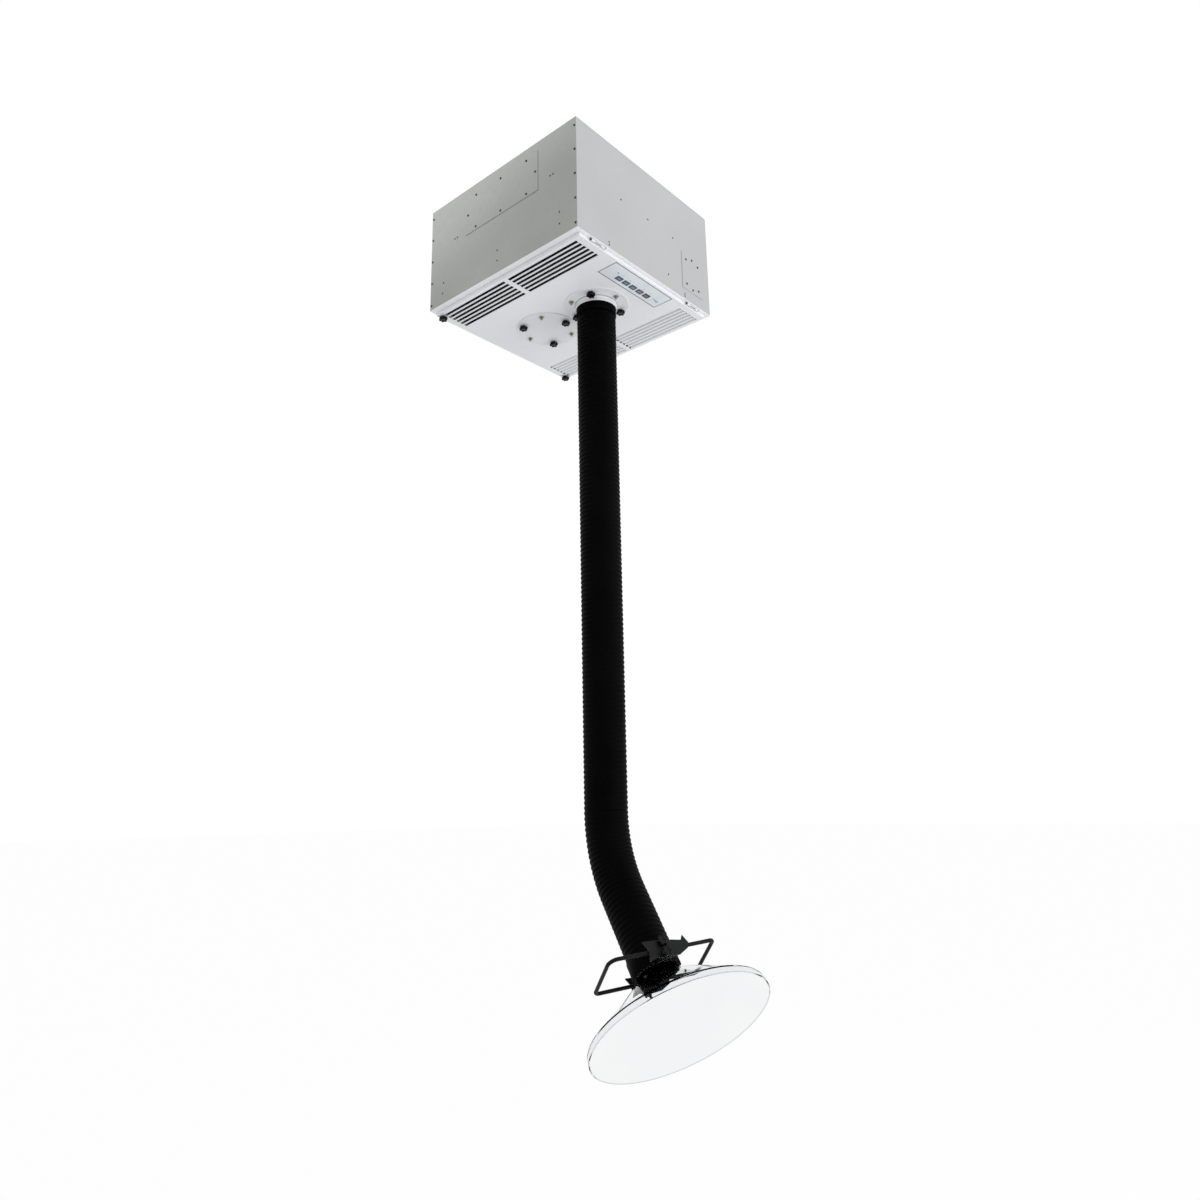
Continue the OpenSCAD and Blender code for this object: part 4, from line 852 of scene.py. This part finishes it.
icons += [dial(x, ICON_Y, LAMP_R, LAMP_W),
          bar(x - RAY_FAR, ICON_Y - RAY_HALF, x - RAY_NEAR, ICON_Y + RAY_HALF),
          bar(x + RAY_NEAR, ICON_Y - RAY_HALF, x + RAY_FAR, ICON_Y + RAY_HALF)]
# Five bars that stand for the filter's state
STATE_X = 84
STATE_Y = -247
STATE_PITCH = 6
STATE_W = 4
STATE_BARS = 5
STATE_H = 2
STATE_RISE = 2.2
for i in range(STATE_BARS):
    x = STATE_X + STATE_PITCH * i
    icons.append(bar(x, STATE_Y, x + STATE_W, STATE_Y + STATE_H + STATE_RISE * i))
add_piece("overlay_icons", *joined(icons), "door", "overlay_film", "print_pale", smooth=False)

# Raised frames on the faces of the keys; the last key is grey
CAP_LOW = Z_DOOR - OVERLAY_T - KEY_OUT
KEY_RING_W = 4.0
KEY_RING_CORNER = 1.2
KEY_RING_OUT = 0.15
KEY_MARGIN = 0.2
KEYS = 5
for number in range(1, KEYS + 1):
    x = (number - (KEYS + 1) / 2) * KEY_PITCH
    half_w, half_d = KEY_W / 2 - KEY_MARGIN, KEY_D / 2 - KEY_MARGIN
    ring = frame_band(x - half_w, KEY_Y - half_d, x + half_w, KEY_Y + half_d, KEY_RING_W,
                      CAP_LOW - KEY_RING_OUT, CAP_LOW + PRINT_IN, KEY_RING_CORNER)
    slot_name = "key_grey" if number == KEYS else "key_blue"
    add_piece(f"key_{number}_frame", *ring, f"key_{number}", slot_name,
              "dark_plastic" if number == KEYS else "print_slate", smooth=False)

LENS_SIDES = 32
LENS = [(0.05, -1.0), (0.9, -0.9), (1.5, -0.6), (1.9, -0.1), (1.9, 0.3)]
add_piece("led_lens", *loft([circle(r, z, LENS_SIDES) for r, z in LENS]), "door", "overlay_film",
          "lens_green", matrix=place(LED_X, LED_Y, Z_DOOR - OVERLAY_T))


# Finishes and softened edges of the CAD nodes that stay in view
SLOT_OF = {part["node"]: part["material_slot"] for part in frame["record"]["subparts"]}
for node_name, node in frame["nodes"].items():
    node.data.materials.clear()
    node.data.materials.append(MATERIALS[SLOT_OF[node_name]])

SOFT_EDGES = {
    "inlet_plate": 0.5, "blank_plate": 0.5, "inlet_collar": 0.8, "hose_cuff_top": 0.8,
    "hose_cuff_bottom": 0.8, "clamp_plates": 0.5, "base_frame": 0.3, "access_plate": 0.15,
    "terminal_cover": 0.6, "control_overlay": 0.15, "hinge_leaves_cabinet": 0.2,
    "hinge_leaves_door": 0.2, "key_1": 0.4, "key_2": 0.4, "key_3": 0.4, "key_4": 0.4, "key_5": 0.4,
    "terminal_block": 0.4, "conduit_bush": 0.5,
}
WELD_WITHIN = 1e-5
FLAT_WITHIN = math.radians(1)
SOFT_ABOVE = math.radians(40)
for node_name, width in SOFT_EDGES.items():
    node = frame["nodes"][node_name]
    weld = node.modifiers.new("weld", "WELD")
    weld.merge_threshold = WELD_WITHIN
    flat = node.modifiers.new("flat", "DECIMATE")
    flat.decimate_type = "DISSOLVE"
    flat.angle_limit = FLAT_WITHIN
    soft = node.modifiers.new("soft", "BEVEL")
    soft.width = width * MM
    soft.segments = 2
    soft.limit_method = "ANGLE"
    soft.angle_limit = SOFT_ABOVE
    soft.harden_normals = True


# Camera
EYE = (-1.8224, -1.6738, -1.7964)
YAW, PITCH, ROLL = (math.radians(a) for a in (41.432, 14.0, -0.986))
SENSOR = 36
FOCAL = 27.23
SHIFT = (0.0066, -0.0144)
ahead = Vector((math.cos(YAW), math.sin(YAW), 0))
right = Vector((math.sin(YAW), -math.cos(YAW), 0))
rise = Vector((0, 0, 1))
forward = ahead * math.cos(PITCH) + rise * math.sin(PITCH)
over = rise * math.cos(PITCH) - ahead * math.sin(PITCH)
cam_right = right * math.cos(ROLL) + over * math.sin(ROLL)
cam_up = over * math.cos(ROLL) - right * math.sin(ROLL)
camera = bpy.data.objects.new("camera", bpy.data.cameras.new("camera"))
turned = Matrix((cam_right, cam_up, -forward)).transposed().to_4x4()
camera.matrix_world = Matrix.Translation(EYE) @ turned
camera.data.sensor_width = SENSOR
camera.data.lens = FOCAL
camera.data.shift_x, camera.data.shift_y = SHIFT
scene.collection.objects.link(camera)
scene.camera = camera


# Room: a white world and floor, and soft lamps
def seen_or(tree, other):
    """Plain white to camera, glossy and transmission rays, and another shader to the rest."""
    rays = add_node(tree, "ShaderNodeLightPath")
    first = add_node(tree, "ShaderNodeMath", operation="MAXIMUM")
    second = add_node(tree, "ShaderNodeMath", operation="MAXIMUM")
    tree.links.new(rays.outputs["Is Camera Ray"], first.inputs[0])
    tree.links.new(rays.outputs["Is Glossy Ray"], first.inputs[1])
    tree.links.new(first.outputs[0], second.inputs[0])
    tree.links.new(rays.outputs["Is Transmission Ray"], second.inputs[1])
    white = add_node(tree, "ShaderNodeBackground" if other.bl_idname == "ShaderNodeBackground"
                     else "ShaderNodeEmission")
    white.inputs["Strength"].default_value = 1
    white.inputs["Color"].default_value = (1, 1, 1, 1)
    mix = add_node(tree, "ShaderNodeMixShader")
    tree.links.new(second.outputs[0], mix.inputs[0])
    tree.links.new(other.outputs[0], mix.inputs[1])
    tree.links.new(white.outputs[0], mix.inputs[2])
    return mix


ROOM_LIGHT = 0.74
world = bpy.data.worlds.new("room")
world.use_nodes = True
scene.world = world
ambient = world.node_tree.nodes["Background"]
ambient.inputs["Color"].default_value = (1, 1, 1, 1)
ambient.inputs["Strength"].default_value = ROOM_LIGHT
world.node_tree.links.new(seen_or(world.node_tree, ambient).outputs[0],
                          world.node_tree.nodes["World Output"].inputs["Surface"])

FLOOR_Z = -3.1
FLOOR_HALF = 60
FLOOR_GLOW = 0.96
FLOOR_TONE = 0.9
FLOOR_ROUGH = 0.9
floor_mesh = bpy.data.meshes.new("floor")
floor_mesh.from_pydata([
    (-FLOOR_HALF, -FLOOR_HALF, FLOOR_Z), (FLOOR_HALF, -FLOOR_HALF, FLOOR_Z),
    (FLOOR_HALF, FLOOR_HALF, FLOOR_Z), (-FLOOR_HALF, FLOOR_HALF, FLOOR_Z),
], [], [(0, 1, 2, 3)])
floor = bpy.data.objects.new("floor", floor_mesh)
scene.collection.objects.link(floor)
floor_material = bpy.data.materials.new("floor")
floor_material.use_nodes = True
floor_tree = floor_material.node_tree
floor_shader = floor_tree.nodes["Principled BSDF"]
floor_shader.inputs["Base Color"].default_value = (FLOOR_TONE, FLOOR_TONE, FLOOR_TONE, 1)
floor_shader.inputs["Roughness"].default_value = FLOOR_ROUGH
floor_shader.inputs["Specular IOR Level"].default_value = 0
# The floor is nearly white by itself, and the rest of it keeps the shadow
half_lit = add_node(floor_tree, "ShaderNodeMixShader")
half_lit.inputs[0].default_value = FLOOR_GLOW
floor_tree.links.new(floor_shader.outputs[0], half_lit.inputs[1])
floor_tree.links.new(seen_or(floor_tree, floor_shader).outputs[0], half_lit.inputs[2])
floor_tree.links.new(half_lit.outputs[0], floor_tree.nodes["Material Output"].inputs["Surface"])
floor_mesh.materials.append(floor_material)


def add_lamp(name, spot, target, size, power):
    """A soft lamp that does not show through the clear hood."""
    lamp = bpy.data.objects.new(name, bpy.data.lights.new(name, "AREA"))
    lamp.data.size = size
    lamp.data.energy = power
    lamp.location = spot
    lamp.rotation_mode = "QUATERNION"
    lamp.rotation_quaternion = (Vector(target) - Vector(spot)).to_track_quat("-Z", "Y")
    lamp.visible_transmission = False
    scene.collection.objects.link(lamp)


add_lamp("key", (1.8, -3.4, -0.9), (0, 0, -0.8), 2.4, 44)
add_lamp("low", (-0.2, -2.6, -3.0), (0, 0, -0.3), 2.0, 30)

scene.view_settings.view_transform = "Standard"
